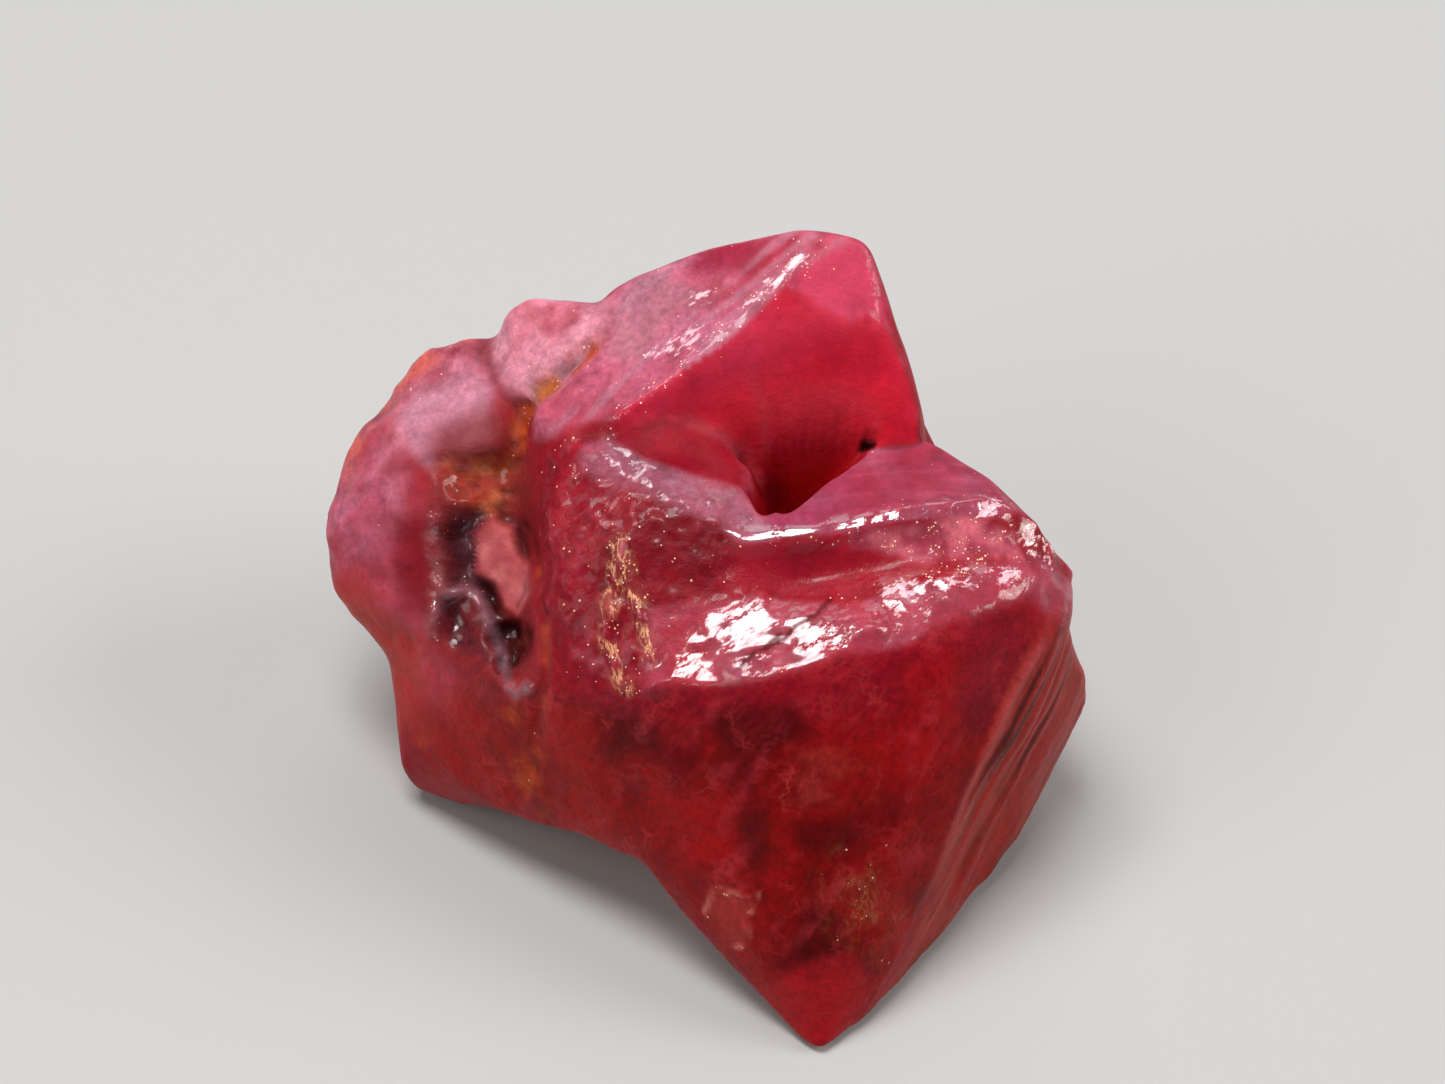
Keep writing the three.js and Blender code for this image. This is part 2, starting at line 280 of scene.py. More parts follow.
def evened(points, zone, neighbours, corners, rounds):
    """Spreads the grid evenly over a zone as seen from the front and above.

    In the zone each point moves sideways to the mean of its neighbours, rounds times, and is
    then put back on the solid along rays from a far place behind and below it."""
    flat = relax(face_on(points), neighbours, 0.5 * zone[:, None], rounds)
    moved = np.outer(flat[:, 1], SEEN_UP) + np.outer(points @ FRONT_ABOVE, FRONT_ABOVE)
    moved[:, 0] += flat[:, 0]
    touched = zone > 0
    far = HEART - FAR_AWAY * FRONT_ABOVE
    rays = moved[touched] - far
    rays /= np.linalg.norm(rays, axis=1, keepdims=True)
    distance = reach(rays, far, corners)[:, None]
    met = distance > 0.75 * FAR_AWAY
    points = points.copy()
    points[touched] = np.where(met, far + rays * distance, points[touched])
    return points


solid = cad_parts["spinel_crystal"].data
solid_points = np.empty(len(solid.vertices) * 3)
solid.vertices.foreach_get("co", solid_points)
solid_corners = np.empty(len(solid.loops), int)
solid.loops.foreach_get("vertex_index", solid_corners)
triangles = solid_points.reshape(-1, 3)[solid_corners].reshape(-1, 3, 3) / MM

directions, quads = cube_sphere(GRID_STEPS, DENSER_TOWARDS)
count = len(directions)
around = neighbours_of(quads, count)
points = HEART + directions * reach(directions, HEART, triangles)[:, None]

# The grid runs thin in the pocket at the left, which the heart sees at a slant, so it is
# evened there. Outlines give places as seen from the front and above, in mm: across, then up.
POCKET_ZONE = [(-13.5, 15), (-9, 17), (-5.2, 14.5), (-4.8, 9), (-6, 3.5), (-10, 3), (-13, 6)]
zone = inside(points, POCKET_ZONE, 2) * smooth((points @ FRONT_ABOVE - 3.5) / 1.5)
EVENING_ROUNDS = 300
points = evened(points, zone, around, triangles, EVENING_ROUNDS)
points = relax(points, around, 0.5, 3)
normals = normals_of(points, quads, count)

# How worn each place is. The broad faces between the edges are smoothed far more than the
# edges themselves, so the edges stay crisp and the faces swell gently from one to the next.
# Lines give places in mm from the middle of the resting face.
RIDGE = [(5.4, 10.5, 23.9), (2.6, 8.5, 22.9), (0.1, 6.4, 21.8), (-2.6, 4.7, 20.5), (-3.8, 4, 19.8)]
CREST = [(1.8, -0.7, 17.4), (4.5, -0.7, 17.7), (8.3, 0.3, 17.8), (11.9, 1.3, 17.4), (14, 0.2, 16.1)]
SIDE_EDGE = [(15.3, -0.5, 12.9), (13.8, -3.4, 13.2), (12.5, -4.9, 12), (9.1, -10.4, 3.6), (7, -13.2, 0.5)]
LEDGE_FRONT = [
    (-3.2, -5.6, 13.4), (-0.1, -6, 14.5), (2.6, -6.1, 15.3), (8.2, -4.8, 15.8), (13.7, -1.8, 15.5),
]
LEDGE_BACK = [(-0.5, -2.7, 15.9), (2.4, -2.5, 16), (6.1, -3, 16.3), (9.3, -2, 16.7), (14.2, 0.2, 15.8)]
LEDGE_MIDLINE = [(-1, -3.6, 15.4), (5, -3.2, 16.2), (13, -0.8, 16.4)]
UPPER_CORNER = [(8.1, 8.6, 21.6), (8.4, 8, 20.2), (9, 6.9, 18.6), (9.4, 6.2, 16.9)]
LOBE_MIDDLE = (-12.5, 6.5, 10.5)
KNOB_MIDDLE = (-7, 10.2, 19)
DOME_MIDDLE = (-0.9, 3.4, 18.6)
WEAR_ROUNDS = 160
edges = most(
    along(points, SIDE_EDGE, 1.2), along(points, RIDGE, 0.9), 0.75 * along(points, CREST, 0.9),
    along(points, UPPER_CORNER, 1.2), 0.5 * along(points, LEDGE_FRONT, 1.2),
)
front = facing(normals, -12, 70, 60) * smooth(-points[:, 1] / 2) * smooth((points[:, 2] - 0.2) / 1.5)
front = most(front, smooth(2 * facing(normals, 50, 85, 40)) * smooth((2 - points[:, 1]) / 2))
front = smooth(2.5 * front)
upper_side = facing(normals, 0, 25, 55) * along(points, LEDGE_MIDLINE, 3.4) ** 0.4
worn = most(
    0.015 + 0.55 * most(front, 0.8 * upper_side) * (1 - np.clip(1.3 * edges, 0, 1)),
    0.1 * spot(points, LOBE_MIDDLE, (9.5, 9.5, 10.5)) ** 0.5,
    0.18 * spot(points, KNOB_MIDDLE, (4.5, 4, 3)) ** 0.5,
    0.3 * spot(points, DOME_MIDDLE, (3.8, 2.6, 2.2)) ** 0.5,
    0.5 * along(points, LEDGE_BACK[1:4], 1.6) ** 0.5, 0.3 * zone,
)
points = relax(points, around, worn[:, None], WEAR_ROUNDS)

# The ledge is one plane, tilted to the front and a little to the left.
LEDGE_PLANE = [
    (-2.2, 5), (-0.5, 7.2), (0.2, 8.3), (2.4, 8.7), (6.1, 8.3), (7.4, 7.6), (6.1, 6.5), (2.6, 5.7),
    (-0.1, 4.9),
]
LEDGE_MIDDLE = (2.8, -4.5, 15.65)
ledge_plane = inside(points, LEDGE_PLANE, 1.2) * smooth(3 * facing(normals, -10, 25, 60))
ledge_plane *= points[:, 2] > 13
points = flattened(points, 0.85 * ledge_plane, LEDGE_MIDDLE, way(-26, 21), 0.8)

# Three high places that wear has spared: the knob's back, the right-hand corner and the dome.
points += np.outer(0.75 * spot(points, (-7.6, 11.6, 19), (3.6, 3, 2.6)), (-0.2, 0.5, 0.85))
points += np.outer(0.7 * spot(points, (15.6, -0.3, 13.6), (1.8, 2.4, 2.2)), (0.95, 0, 0.2))
points += np.outer(0.5 * spot(points, DOME_MIDDLE, (2.6, 1.4, 1.6)), FRONT_ABOVE)

# The right-hand corner has a small pane turned to the right.
CORNER_PANE = [(13.2, 12.4), (14.2, 12.3), (15.3, 10.9), (15, 9.8), (13.8, 9.9), (13, 11.2)]
CORNER_MIDDLE = (14.1, 0.4, 15.9)
corner_pane = inside(points, CORNER_PANE, 0.8) * (points[:, 2] > 14)
points = flattened(points, 0.9 * corner_pane, CORNER_MIDDLE, way(53, 37), 0.5)

# The crest behind the ledge is worn to a narrow flat strip, which leans back by STRIP_SLOPE.
# A cubic takes out the slow part of the surface's miss, so that the strip follows the crest.
STRIP_SLOPE = 0.43
crest_line = np.array(CREST[:4])
crest_seen = face_on(crest_line)
seen = face_on(points)
strip = smooth(1.6 * along(seen, crest_seen, 0.6)) * (points @ FRONT_ABOVE > 11)
miss = points @ FRONT_ABOVE - np.interp(points[:, 0], crest_line[:, 0], crest_line @ FRONT_ABOVE)
miss += STRIP_SLOPE * (seen[:, 1] - level(points[:, 0], crest_seen))
bend = np.polynomial.Polynomial.fit(points[strip > 0.5, 0], miss[strip > 0.5], 3)
points -= (strip * np.clip(miss - bend(points[:, 0]), -0.4, 0.4))[:, None] * FRONT_ABOVE
points = relax(points, around, 0.3 * strip[:, None] * (1 - strip[:, None]), 6)
normals = normals_of(points, quads, count)


# Regions of the surface, each from 0 to 1.
UPPER_LEFT = [
    (-4.4, 20.5), (-2.3, 18.4), (-3.9, 16.3), (-5, 16.2), (-6.2, 15.6), (-7.2, 15.4), (-7.6, 17.2),
    (-6.4, 18.4),
]
DOME = [
    (-3.9, 15.4), (-2.6, 16), (-0.5, 16.2), (1, 15.6), (2, 14.4), (2.1, 13.3), (-0.1, 13.8), (-2.6, 14.6),
]
CHIP = [(3.6, 21.9), (4.8, 21.2), (6.3, 20.4), (7, 20.7), (7.5, 20.5), (8.2, 19.9), (10, 22), (7, 26)]
BAND = [(-4.3, 2.9, 18.8), (-2.6, 2.2, 18.6), (-0.5, 1.3, 18.2), (1.2, 0.9, 17.8), (2.3, -0.3, 17.4)]
RIGHT_SIDE = [(14.6, 9.6), (13.9, 6.8), (12.7, 4.4), (11, 0), (9.2, -5.3), (7.4, -9.5), (20, -12), (20, 9)]
BROKEN_LEFT = [(-5.6, 3, 18), (-5.2, -0.5, 17), (-3.5, -3.6, 15)]
BROKEN_RIGHT = [(-4, 1.6, 18), (0.5, -0.8, 17.2), (1.6, -2.2, 16)]
POCKET = [(-13.5, 15), (-9, 17), (-7.2, 15), (-7, 4.4), (-9, 4.2), (-12.4, 7)]
CREVICE = [(-4.9, 19.4), (-6.2, 18.1), (-7.2, 17.5), (-7.9, 16.2), (-8.1, 15.1), (-8.6, 14.1)]
GROOVE = [(-4.4, 8.5, 20.3), (-5.5, 8, 19.2), (-6.9, 8.4, 17.4), (-8.1, 6.2, 16.2)]
FISSURE = [
    (-8.4, 5.6, 15.8), (-7.7, 4.8, 13.9), (-7, 2.5, 13.4), (-6.6, -2.2, 14.1), (-6.8, -4.2, 12.4),
    (-7.1, -4.7, 9), (-7.5, -4.8, 5.8),
]
x, y, z = points.T
seen = face_on(points)
towards = points @ FRONT_ABOVE
top_face = smooth(2 * facing(normals, -70, 22, 40)) * smooth(z - 17.8) * smooth(x + 5.2)
top_face *= smooth((y - 4.2) / 0.6)
top_face = most(top_face, inside(points, UPPER_LEFT, 0.7) * smooth((z - 15.5) / 0.6))
dome = inside(points, DOME, 0.22) * smooth((z - 16.8) / 0.6) * smooth((y - 1.2) / 0.5)
red_face = smooth(2 * facing(normals, 16, 60, 42)) * smooth((y - 3) / 0.6) * smooth((z - 13.5) / 1.5)
red_face = most(red_face * smooth((x + 4.2) / 0.8), dome)
chip = inside(points, CHIP, 0.15) * smooth(2 * facing(normals, 20, 45, 55)) * smooth((y - 7) / 0.5)
notch = spot(points, (4.2, 4.6, 13.4), (4.6, 3.2, 4.6)) ** 0.5
over_crest = seen[:, 1] - level(x, crest_seen)
band = along(points, BAND, 1.15) ** 0.5 * (1 - dome) * smooth((3.9 - y) / 0.5)
band *= 1 - smooth(0.2 - over_crest / 0.3) * smooth((x - 0.6) / 0.6)
behind = smooth((y - 8) / 3) * smooth((19 - z) / 3)
lobe = smooth((-8.4 - x + 2.5 * behind * lumps(points, 4, 84)) / (1.2 + 3 * behind))
lobe *= smooth((z - 6) / 3) * smooth((y + 2.5) / 3)
knob = smooth(1.6 * spot(points, KNOB_MIDDLE, (3.6, 4.2, 3)) ** 0.5)
arm_top = smooth(2 * facing(normals, 170, 12, 45)) * smooth((x - 2.2) / 0.8) * smooth((z - 15.2) / 0.8)
arm_top *= smooth((y + 0.7) / 0.5) * (1 - smooth((y - 6.5) / 2)) * (1 - red_face)
ledge_low = level(x, LEDGE_FRONT)
ledge_high = level(x, LEDGE_BACK)
ledge = smooth((y - ledge_low + 0.5) / 0.6) * smooth((ledge_high + 0.1 - y) / 0.6) * smooth((z - 13) / 0.6)
ledge *= smooth((x + 2.8) / 0.8)
riser = smooth((y - ledge_high + 0.1) / 0.6) * smooth((x - 1) / 0.8) * smooth((0.8 - y) / 0.8)
riser *= smooth((z - 15) / 0.5) * (1 - arm_top)
side_face = smooth(3 * facing(normals, 60, 86, 75)) * smooth((3 - y) / 2) * smooth((14.5 - z) / 1.5)
side_face *= inside(points, RIGHT_SIDE, 0.6)
broken = most(along(points, BROKEN_LEFT, 3.8), along(points, BROKEN_RIGHT, 2.2)) ** 0.35
broken *= smooth((x + 7.4) / 0.6) * smooth((4.4 - y) / 0.8)
broken *= (1 - dome) * (1 - ledge) * (1 - riser) * (1 - arm_top)
left_front = smooth((-y - 0.5) / 1.5) * smooth((-3.2 - x) / 2) * smooth((12.6 - z) / 1.5)
front_face = smooth(3.5 * facing(normals, 0, 66, 62)) * smooth((-2 - y) / 1.5)
front_face *= (1 - ledge) * (1 - side_face) * (1 - 0.8 * broken)
pocket = inside(points, POCKET, 1.6)
crevice = along(seen, CREVICE, 0.6) ** 0.7 * smooth((towards - 6) / 1.5)
cleft = along(points, GROOVE, 0.75)
fissure = along(points, FISSURE, 0.55)

# Relief, pushed out along the surface's own normals. First the broad swell of the stone, and
# the lobe and the knob, which gravel has rounded and dented.
LOBE_STEP = [(-14.6, 13.6), (-13.4, 14.4), (-12, 14.9), (-10.6, 15), (-9.6, 14.9)]
lobe_skin = lobe * (1 - pocket)
relief = 0.2 * layered(points, 5.5, 1) * (1 - 0.7 * red_face) * (1 - 0.6 * behind)
relief += lobe_skin * (0.26 * layered(points, 3.4, 21) + 0.34 * scallops(points, 4.4, 22))
relief += lobe_skin * (0.07 * layered(points, 0.8, 25, 2) + 0.15 * scallops(points, 1.6, 65))
below_step = smooth((level(x, LOBE_STEP) - seen[:, 1]) / 0.35) * (y < 9) * (z > 8)
relief -= 0.24 * below_step * along(seen, LOBE_STEP, 2.4) ** 0.5
folds = streaks(points, (0.8, 0.5, 0.35), 5, 0.55, 80)
relief += 0.07 * (lobe_skin + knob) * folds
relief += knob * (0.24 * layered(points, 2, 23) + 0.24 * scallops(points, 2.2, 24))

# The broken middle, the top face and the ledge, with bruises on the ledge's right and the ridge.
BRUISED = [
    [(11.2, 12.6), (12.4, 13.3), (13.2, 12.6), (12.6, 11.8), (11.4, 12)],
    [(13.4, 11.9), (14.6, 11.9), (15.2, 10.6), (14.6, 9.6), (13.3, 10.6)],
    [(7.4, 9.6), (10.4, 10), (13.2, 10.3), (13.6, 9.2), (11, 9), (8.2, 8.4), (6.8, 7.8)],
]
relief += broken * (0.26 * scallops(points, 2.4, 11) + 0.12 * scallops(points, 0.8, 12))
relief += broken * 0.07 * lumps(points, 0.45, 15)
relief += top_face * (0.12 * scallops(points, 3.2, 13) + 0.06 * layered(points, 0.8, 16, 2))
relief += ledge * (0.05 * streaks(points, (1, 0.12, 0.05), 2.6, 0.6, 17) + 0.08 * layered(points, 0.9, 18, 2))
relief += 0.07 * ledge * smooth((x - 6) / 2) * scallops(points, 0.9, 39)
bruised = most(*[inside(points, place, 0.8) for place in BRUISED]) * smooth((towards - 9) / 2)
rough = most(bruised, 0.7 * along(points, RIDGE, 1.1))
relief += 0.17 * rough * scallops(points, 0.8, 66)

# The side face's striations, which run down beside its edge, then the arm, the front and its left.
STRIPES = (-0.45, -0.6, -0.66)
NEAR_EDGE = [(14.3, 5.6), (13.5, 3), (12.5, 0), (11.6, -3)]
near_edge = along(seen, NEAR_EDGE, 1.9) ** 0.5
striped = side_face * (0.25 + 0.75 * near_edge)
relief += striped * 0.24 * streaks(points, STRIPES, 9, 0.85, 19)
relief += striped * 0.14 * streaks(points, STRIPES, 6, 0.4, 20)
relief += side_face * 0.12 * layered(points, 2.4, 53)
relief += arm_top * (0.03 * streaks(points, (1, 0.1, 0), 5, 0.6, 26) + 0.04 * layered(points, 1.4, 40, 2))
relief += front_face * (0.1 * layered(points, 3, 27, 2) + 0.07 * scallops(points, 4.2, 28))
relief += left_front * 0.12 * layered(points, 2.6, 29)

# The back: dents, and growth terraces. Each terrace is a level of one slow field, and its step
# takes the last fifth of the way to the next.
TERRACE = 0.6  # how much of the field one terrace takes
TERRACE_HEIGHT = 0.24
relief += behind * (0.14 * scallops(points, 3.4, 30) + 0.1 * scallops(points, 1.5, 82))
growth = (2.6 + 1.6 * layered(points, 8, 79, 2) + 0.05 * (z - np.abs(x + 1))) / TERRACE
relief += TERRACE_HEIGHT * behind * (np.floor(growth) + smooth(5 * (growth % 1) - 4) - 4)

# Small edges: the sunken chip, the ridge, fine treads on the crest, the gold veins, the mark
# low on the front, and the crevice, cleft and fissure beside the lobe.
VEINS = [
    [(-3.4, -0.7, 17.1), (-3.8, -2.6, 15.8), (-4, -3.9, 14.7), (-3.2, -5.5, 13.4)],
    [(-3.4, -0.7, 17.1), (-3, -2.3, 16.1), (-2.2, -4.1, 15), (-2.1, -4.7, 14.6)],
]
FLAKE_MARK = [
    (0.5, -10.3, 6), (2, -11, 6.4), (1.8, -11.8, 4), (1.2, -11.7, 3.4), (0.2, -10.6, 4.5), (0.5, -10.3, 6),
]
TREAD_LENGTH = 1.7


def veined(points, width):
    """1 on the gold veins, falling smoothly to 0 at width from them, and more where two meet."""
    return sum(along(points, vein, width) for vein in VEINS)


relief -= 0.14 * chip
relief += 0.08 * along(points, RIDGE, 0.5) * (0.6 + 0.8 * lumps(points, 0.7, 32))
tread = (x + 0.35 * lumps(points, 1.6, 68)) % TREAD_LENGTH
relief += 0.03 * tread * along(points, CREST[:4], 1) ** 0.7
relief += 0.2 * veined(points, 0.35) * (0.7 + 0.6 * lumps(points, 0.45, 33))
relief += 0.1 * along(points, FLAKE_MARK, 0.26) * (0.7 + 0.6 * lumps(points, 0.5, 34))
relief -= 0.3 * crevice + 0.22 * cleft + 0.25 * fissure * (0.6 + 0.6 * lumps(points, 1.1, 35))
points = points + relief[:, None] * normals
points = relax(points, around, 0.45 * (riser * (1 - rough))[:, None], 25)
notch_wall = smooth(3 * notch * (1 - arm_top) * (1 - band) * smooth(y - 2.5))
points = relax(points, around, 0.5 * notch_wall[:, None], 30)

# The pocket at the left: hollows either side of a wedged flake, and a thin arched rim. A short
# gap is cut at the right end of the notch; it is later painted near black, as painted shade.
FLAKE = [
    (-9.7, 11.3), (-9.2, 12), (-8.6, 11.8), (-8.2, 11.7), (-7.9, 10.6), (-7.5, 10), (-7.4, 8.9), (-7.9, 8),
    (-8.5, 8.3), (-9, 9.3), (-9.8, 9.7),
]
FLAKE_MIDDLE = (-8.6, 2.4, 13)
RUSTY_HOLLOW = [
    (-11, 14.6), (-9.4, 14.7), (-8, 14.2), (-7.9, 13.2), (-8.6, 12.2), (-9.8, 12.3), (-10.9, 12.9),
]
LEFT_GAP = [
    (-11, 12.4), (-9.9, 12.4), (-9.3, 12.1), (-9.8, 11.2), (-9.8, 9.6), (-9, 9.1), (-10.1, 8.7),
    (-10.9, 9.2), (-11.2, 10.6),
]
ARCH_HOLLOW = [(-11.3, 8.4), (-10.9, 8.9), (-10.3, 8.6), (-9.6, 7.7), (-9, 6.1), (-9.6, 6.2), (-10.7, 6.6)]
RIGHT_HOLLOW = [
    (-9.6, 8.9), (-8.9, 8.9), (-8.3, 8.1), (-7.7, 7.7), (-7.4, 7.2), (-7.4, 5.9), (-8.1, 5.2), (-8.7, 6),
    (-9.2, 7.4),
]
ARCH = [
    (-11.6, 7.5), (-11.4, 8.3), (-10.9, 8.8), (-10.2, 9), (-9.6, 8.6), (-9.2, 7.6), (-8.6, 6.1), (-8.3, 5),
    (-7.9, 4.6), (-7.4, 4.9),
]
LEFT_RIM = [(-11.4, 12), (-11.7, 11.1), (-11.4, 10), (-11.3, 9.2), (-11.6, 8.2), (-11.7, 7.2)]
SHADED_GAP = [(6.85, 15.1), (7.25, 15.25)]
seen = face_on(points)
towards = points @ FRONT_ABOVE
torn = ragged(points, 0.55, 1.3, 61)
in_front = smooth(towards - 4)
flake = inside(points, FLAKE, 0.45) * in_front
rusty_hollow = inside(torn, RUSTY_HOLLOW, 1.3) * in_front
left_gap = inside(torn, LEFT_GAP, 0.9) * in_front
arch_hollow = inside(torn, ARCH_HOLLOW, 1) * in_front
right_hollow = inside(torn, RIGHT_HOLLOW, 0.9) * in_front
cavity = most(rusty_hollow, left_gap, arch_hollow, right_hollow)
arch = along(seen, ARCH, 0.42) * in_front
left_rim = along(seen, LEFT_RIM, 0.5) * in_front
shaded_gap = along(seen, SHADED_GAP, 0.32) * smooth(towards - 6)
depth = 0.75 * rusty_hollow + left_gap + 0.7 * arch_hollow + 1.4 * right_hollow
depth *= (1 - flake) * (0.8 + 0.55 * layered(points, 0.9, 36))
depth += 0.8 * shaded_gap
depth -= 0.4 * arch * (0.7 + 0.6 * lumps(points, 0.8, 67))
depth -= 0.35 * left_rim * (0.5 + 0.9 * lumps(points, 0.6, 64))
points = points - depth[:, None] * FRONT_ABOVE
points = flattened(points, flake, FLAKE_MIDDLE, way(-24, 44), 1.6)
points += (flake * 0.1 * lumps(points, 0.8, 38))[:, None] * FRONT_ABOVE
points = relax(points, around, 0.3, 1)
points[:, 2] = np.maximum(points[:, 2], 0)
normals = normals_of(points, quads, count)

# How far each place is sunk below the mean of the places round it, in mm, and from that the
# crests and the hollows, each from 0 to 1.
sunk = ((relax(points, around, 0.5, 14) - points) * normals).sum(axis=1)
crest = smooth(-9 * sunk - 0.15)
hollow = smooth(9 * sunk - 0.15)

# Colours, in linear light, laid over one another by the regions. Some outlines are looked up
# at drifted places, which makes their borders wander.
CRIMSON = (0.4, 0.01, 0.022)
DEEP_RED = (0.12, 0.002, 0.004)
LIVE_RED = (0.49, 0.009, 0.031)
WARM_RED = (0.3, 0.004, 0.004)
PINK = (0.66, 0.062, 0.13)
FROSTED_SHEEN = (0.6, 0.15, 0.235)
MAUVE_GREY = (0.34, 0.13, 0.19)
SHADE_PLUM = (0.125, 0.014, 0.02)
OLIVE_BROWN = (0.3, 0.03, 0.016)
RUST = (0.44, 0.06, 0.016)
GOLD = (0.5, 0.19, 0.05)
SHADE_BLACK_RED = (0.07, 0.005, 0.004)
x, y, z = points.T
seen = face_on(points)
mottle = layered(points, 2.2, 41, 4)
fine = layered(points, 0.7, 42)
drift = ragged(points, 1.1, 2.6, 71)
half_drift = 0.5 * (points + drift)
cloudy = layered(drift, 2.4, 74, 4)
shards = scallops(drift, 2.6, 75)
wavering = seen + 0.15 * fine[:, None]
colour = np.tile(CRIMSON, (count, 1))


def paint(over, cover):
    """Lays a colour over the stone's own, in place: the mix of the two by cover, from 0 to 1."""
    colour[:] += np.clip(cover, 0, 1)[:, None] * (np.array(over) - colour)


paint(DEEP_RED, 0.4 + 0.6 * mottle)

# The broken front: red glass with darker depths, paler veils that slope down to the left, a
# brighter pane at its tip that is painted glow of light through the thin tip, an amber stain
# low on its right, a small pale mark at its left, and a painted purplish sheen towards its top.
BRIGHT_PATCHES = [
    [(8.4, 5.9), (10.9, 6.6), (10.6, 2.9), (9, 0.4), (7.6, 0.9), (8.4, 3.2)],
    [(2.5, -8), (4.1, -7), (6.4, -7.7), (6.4, -10.8), (3.2, -9.6)],
    [(-2.2, 0.6), (1.2, 0.3), (1.2, -2.2), (-0.6, -2.6)],
]
DARK_PATCHES = [
    [(1.6, -0.3), (2.6, -0.1), (3, -1.8), (2.1, -2.8), (1.4, -1.9)],
    [(3.7, -0.9), (6.2, -0.5), (6.7, -1.9), (5.6, -2.5), (4.1, -2)],
    [(4.2, -4.2), (5.9, -4.5), (6.3, -6.2), (4.8, -7.8), (4.1, -6.1)],
    [(-6, 4.4), (-2.6, 4.5), (-1.8, 2.8), (-4.3, 1.4), (-6, 2.6)],
    [(0.4, 4.2), (3.4, 4.4), (4.6, 3.2), (2.2, 2), (0.9, 2.6)],
]
VEILS = [
    [(0.8, 4.6), (-0.5, 2.6)],
    [(4.1, 4.4), (1.7, 0.6), (0.8, -1.1)],
    [(9.6, 4.4), (8.6, 2.5), (9, 0.6)],
    [(-1.8, 4.4), (-2.6, 2.7)],
]
VEIL_WAY = (-0.6, -0.3, -0.8)
TIP_GLOW_PANE = [(2.6, -8.1), (3.7, -7.2), (6.3, -6.3), (7.1, -7.8), (6.3, -10.6), (5.2, -11.6), (4.1, -10.2)]
WEBBY = [(3.2, 2.6), (7, 2.8), (7.4, 0.3), (3.7, -0.3)]
AMBER = [(5.9, -3), (6.2, -4), (7.4, -5.2), (8.9, -6.3)]
FLAKE_MARK_PANE = [(0.5, -3.7), (2, -3.8), (1.8, -6), (1.3, -6.3), (0.2, -4.8)]
paint(WARM_RED, 0.95 * front_face)
paint(DEEP_RED, front_face * smooth(0.42 + 1.1 * cloudy) * 0.75)
paint((0.36, 0.014, 0.022), front_face * smooth(1.6 * shards - 0.26) * 0.45)
# Painted sheen: a purplish haze laid over the front, growing towards its top.
paint((0.3, 0.008, 0.026), front_face * smooth((points @ SEEN_UP - 2) / 3) * 0.5)
# The second bright patch lies on the tip; its lighter red is painted glow, like the tip's pane.
for outline in BRIGHT_PATCHES:
    paint((0.4, 0.005, 0.006), 0.6 * front_face * inside(half_drift, outline, 1.6))
for outline in DARK_PATCHES:
    paint((0.06, 0.002, 0.002), 0.72 * front_face * inside(half_drift, outline, 1.1))
veil = smooth(3.2 * streaks(points, VEIL_WAY, 6, 0.55, 43) - 1.1) * smooth(0.9 + 2 * lumps(points, 3, 49))
veil = most(veil, *[along(wavering, route, 0.45) for route in VEILS])
paint((0.38, 0.026, 0.038), 0.42 * front_face * veil * smooth(0.7 + 1.5 * fine))
# Painted glow: the thin tip is painted a brighter red, as if lit through.
paint((0.42, 0.012, 0.02), 0.55 * front_face * inside(half_drift, TIP_GLOW_PANE, 0.6))
webby = inside(drift, WEBBY, 1.2) * front_face
paint((0.3, 0.03, 0.02), 0.5 * webby * smooth(0.5 + fine))
amber = along(face_on(half_drift), AMBER, 1.9) ** 0.7 * front_face
amber *= smooth(0.6 + 1.7 * layered(drift, 1.2, 50))
paint((0.24, 0.028, 0.006), 0.7 * amber)
shaken = points + 0.35 * (drift - points) + 0.5 * fine[:, None] * np.array([0.6, 0.2, 0.7])
mark = along(shaken, FLAKE_MARK, 0.24) * front_face
paint((0.42, 0.05, 0.045), 0.5 * front_face * inside(half_drift, FLAKE_MARK_PANE, 0.6))
paint((0.66, 0.2, 0.16), 0.65 * mark * smooth(0.5 + 2.2 * layered(points, 0.5, 83, 2)))

# The smooth left of the front, warmer and duller, with rusty drips beside the fissure.
RUST_SPOTS = [(-8.1, 4.4), (-7.7, 1.6), (-12.5, 3), (-7.1, 0.4)]
paint((0.34, 0.007, 0.007), 0.9 * left_front)
paint(DEEP_RED, left_front * smooth(0.3 + 1.3 * cloudy) * 0.45)
drips = smooth(2 * streaks(points, (-0.3, -0.2, -0.9), 5, 0.6, 51) - 0.6)
paint((0.36, 0.04, 0.045), 0.4 * left_front * drips)
for across, up in RUST_SPOTS:
    stain = along(seen + 0.35 * fine[:, None], [(across, up), (across + 0.1, up - 0.7)], 0.8)
    paint((0.5, 0.08, 0.018), 0.65 * left_front * stain * smooth(0.5 + fine))

# The side face: olive brown with red showing through, combed by dark lines near its edge.
PALE_STRIP = [(13.6, 6.5), (12.8, 4), (11.6, 1), (10.6, -2.3), (9.7, -5.5)]
paint(OLIVE_BROWN, 0.85 * side_face)
stripes = smooth(0.5 + 1.4 * streaks(points, STRIPES, 9, 0.5, 45))
paint((0.4, 0.014, 0.016), side_face * (0.3 + 0.4 * stripes * near_edge + 0.5 * cloudy))
dark_lines = smooth(3 * streaks(points, STRIPES, 8, 0.42, 46) - 0.7)
paint((0.06, 0.008, 0.008), 0.85 * striped * dark_lines)
pale_lines = smooth(0.7 + 1.5 * streaks(points, STRIPES, 6, 0.3, 47))
paint((0.46, 0.07, 0.06), 0.75 * along(seen, PALE_STRIP, 0.8) * side_face * pale_lines)
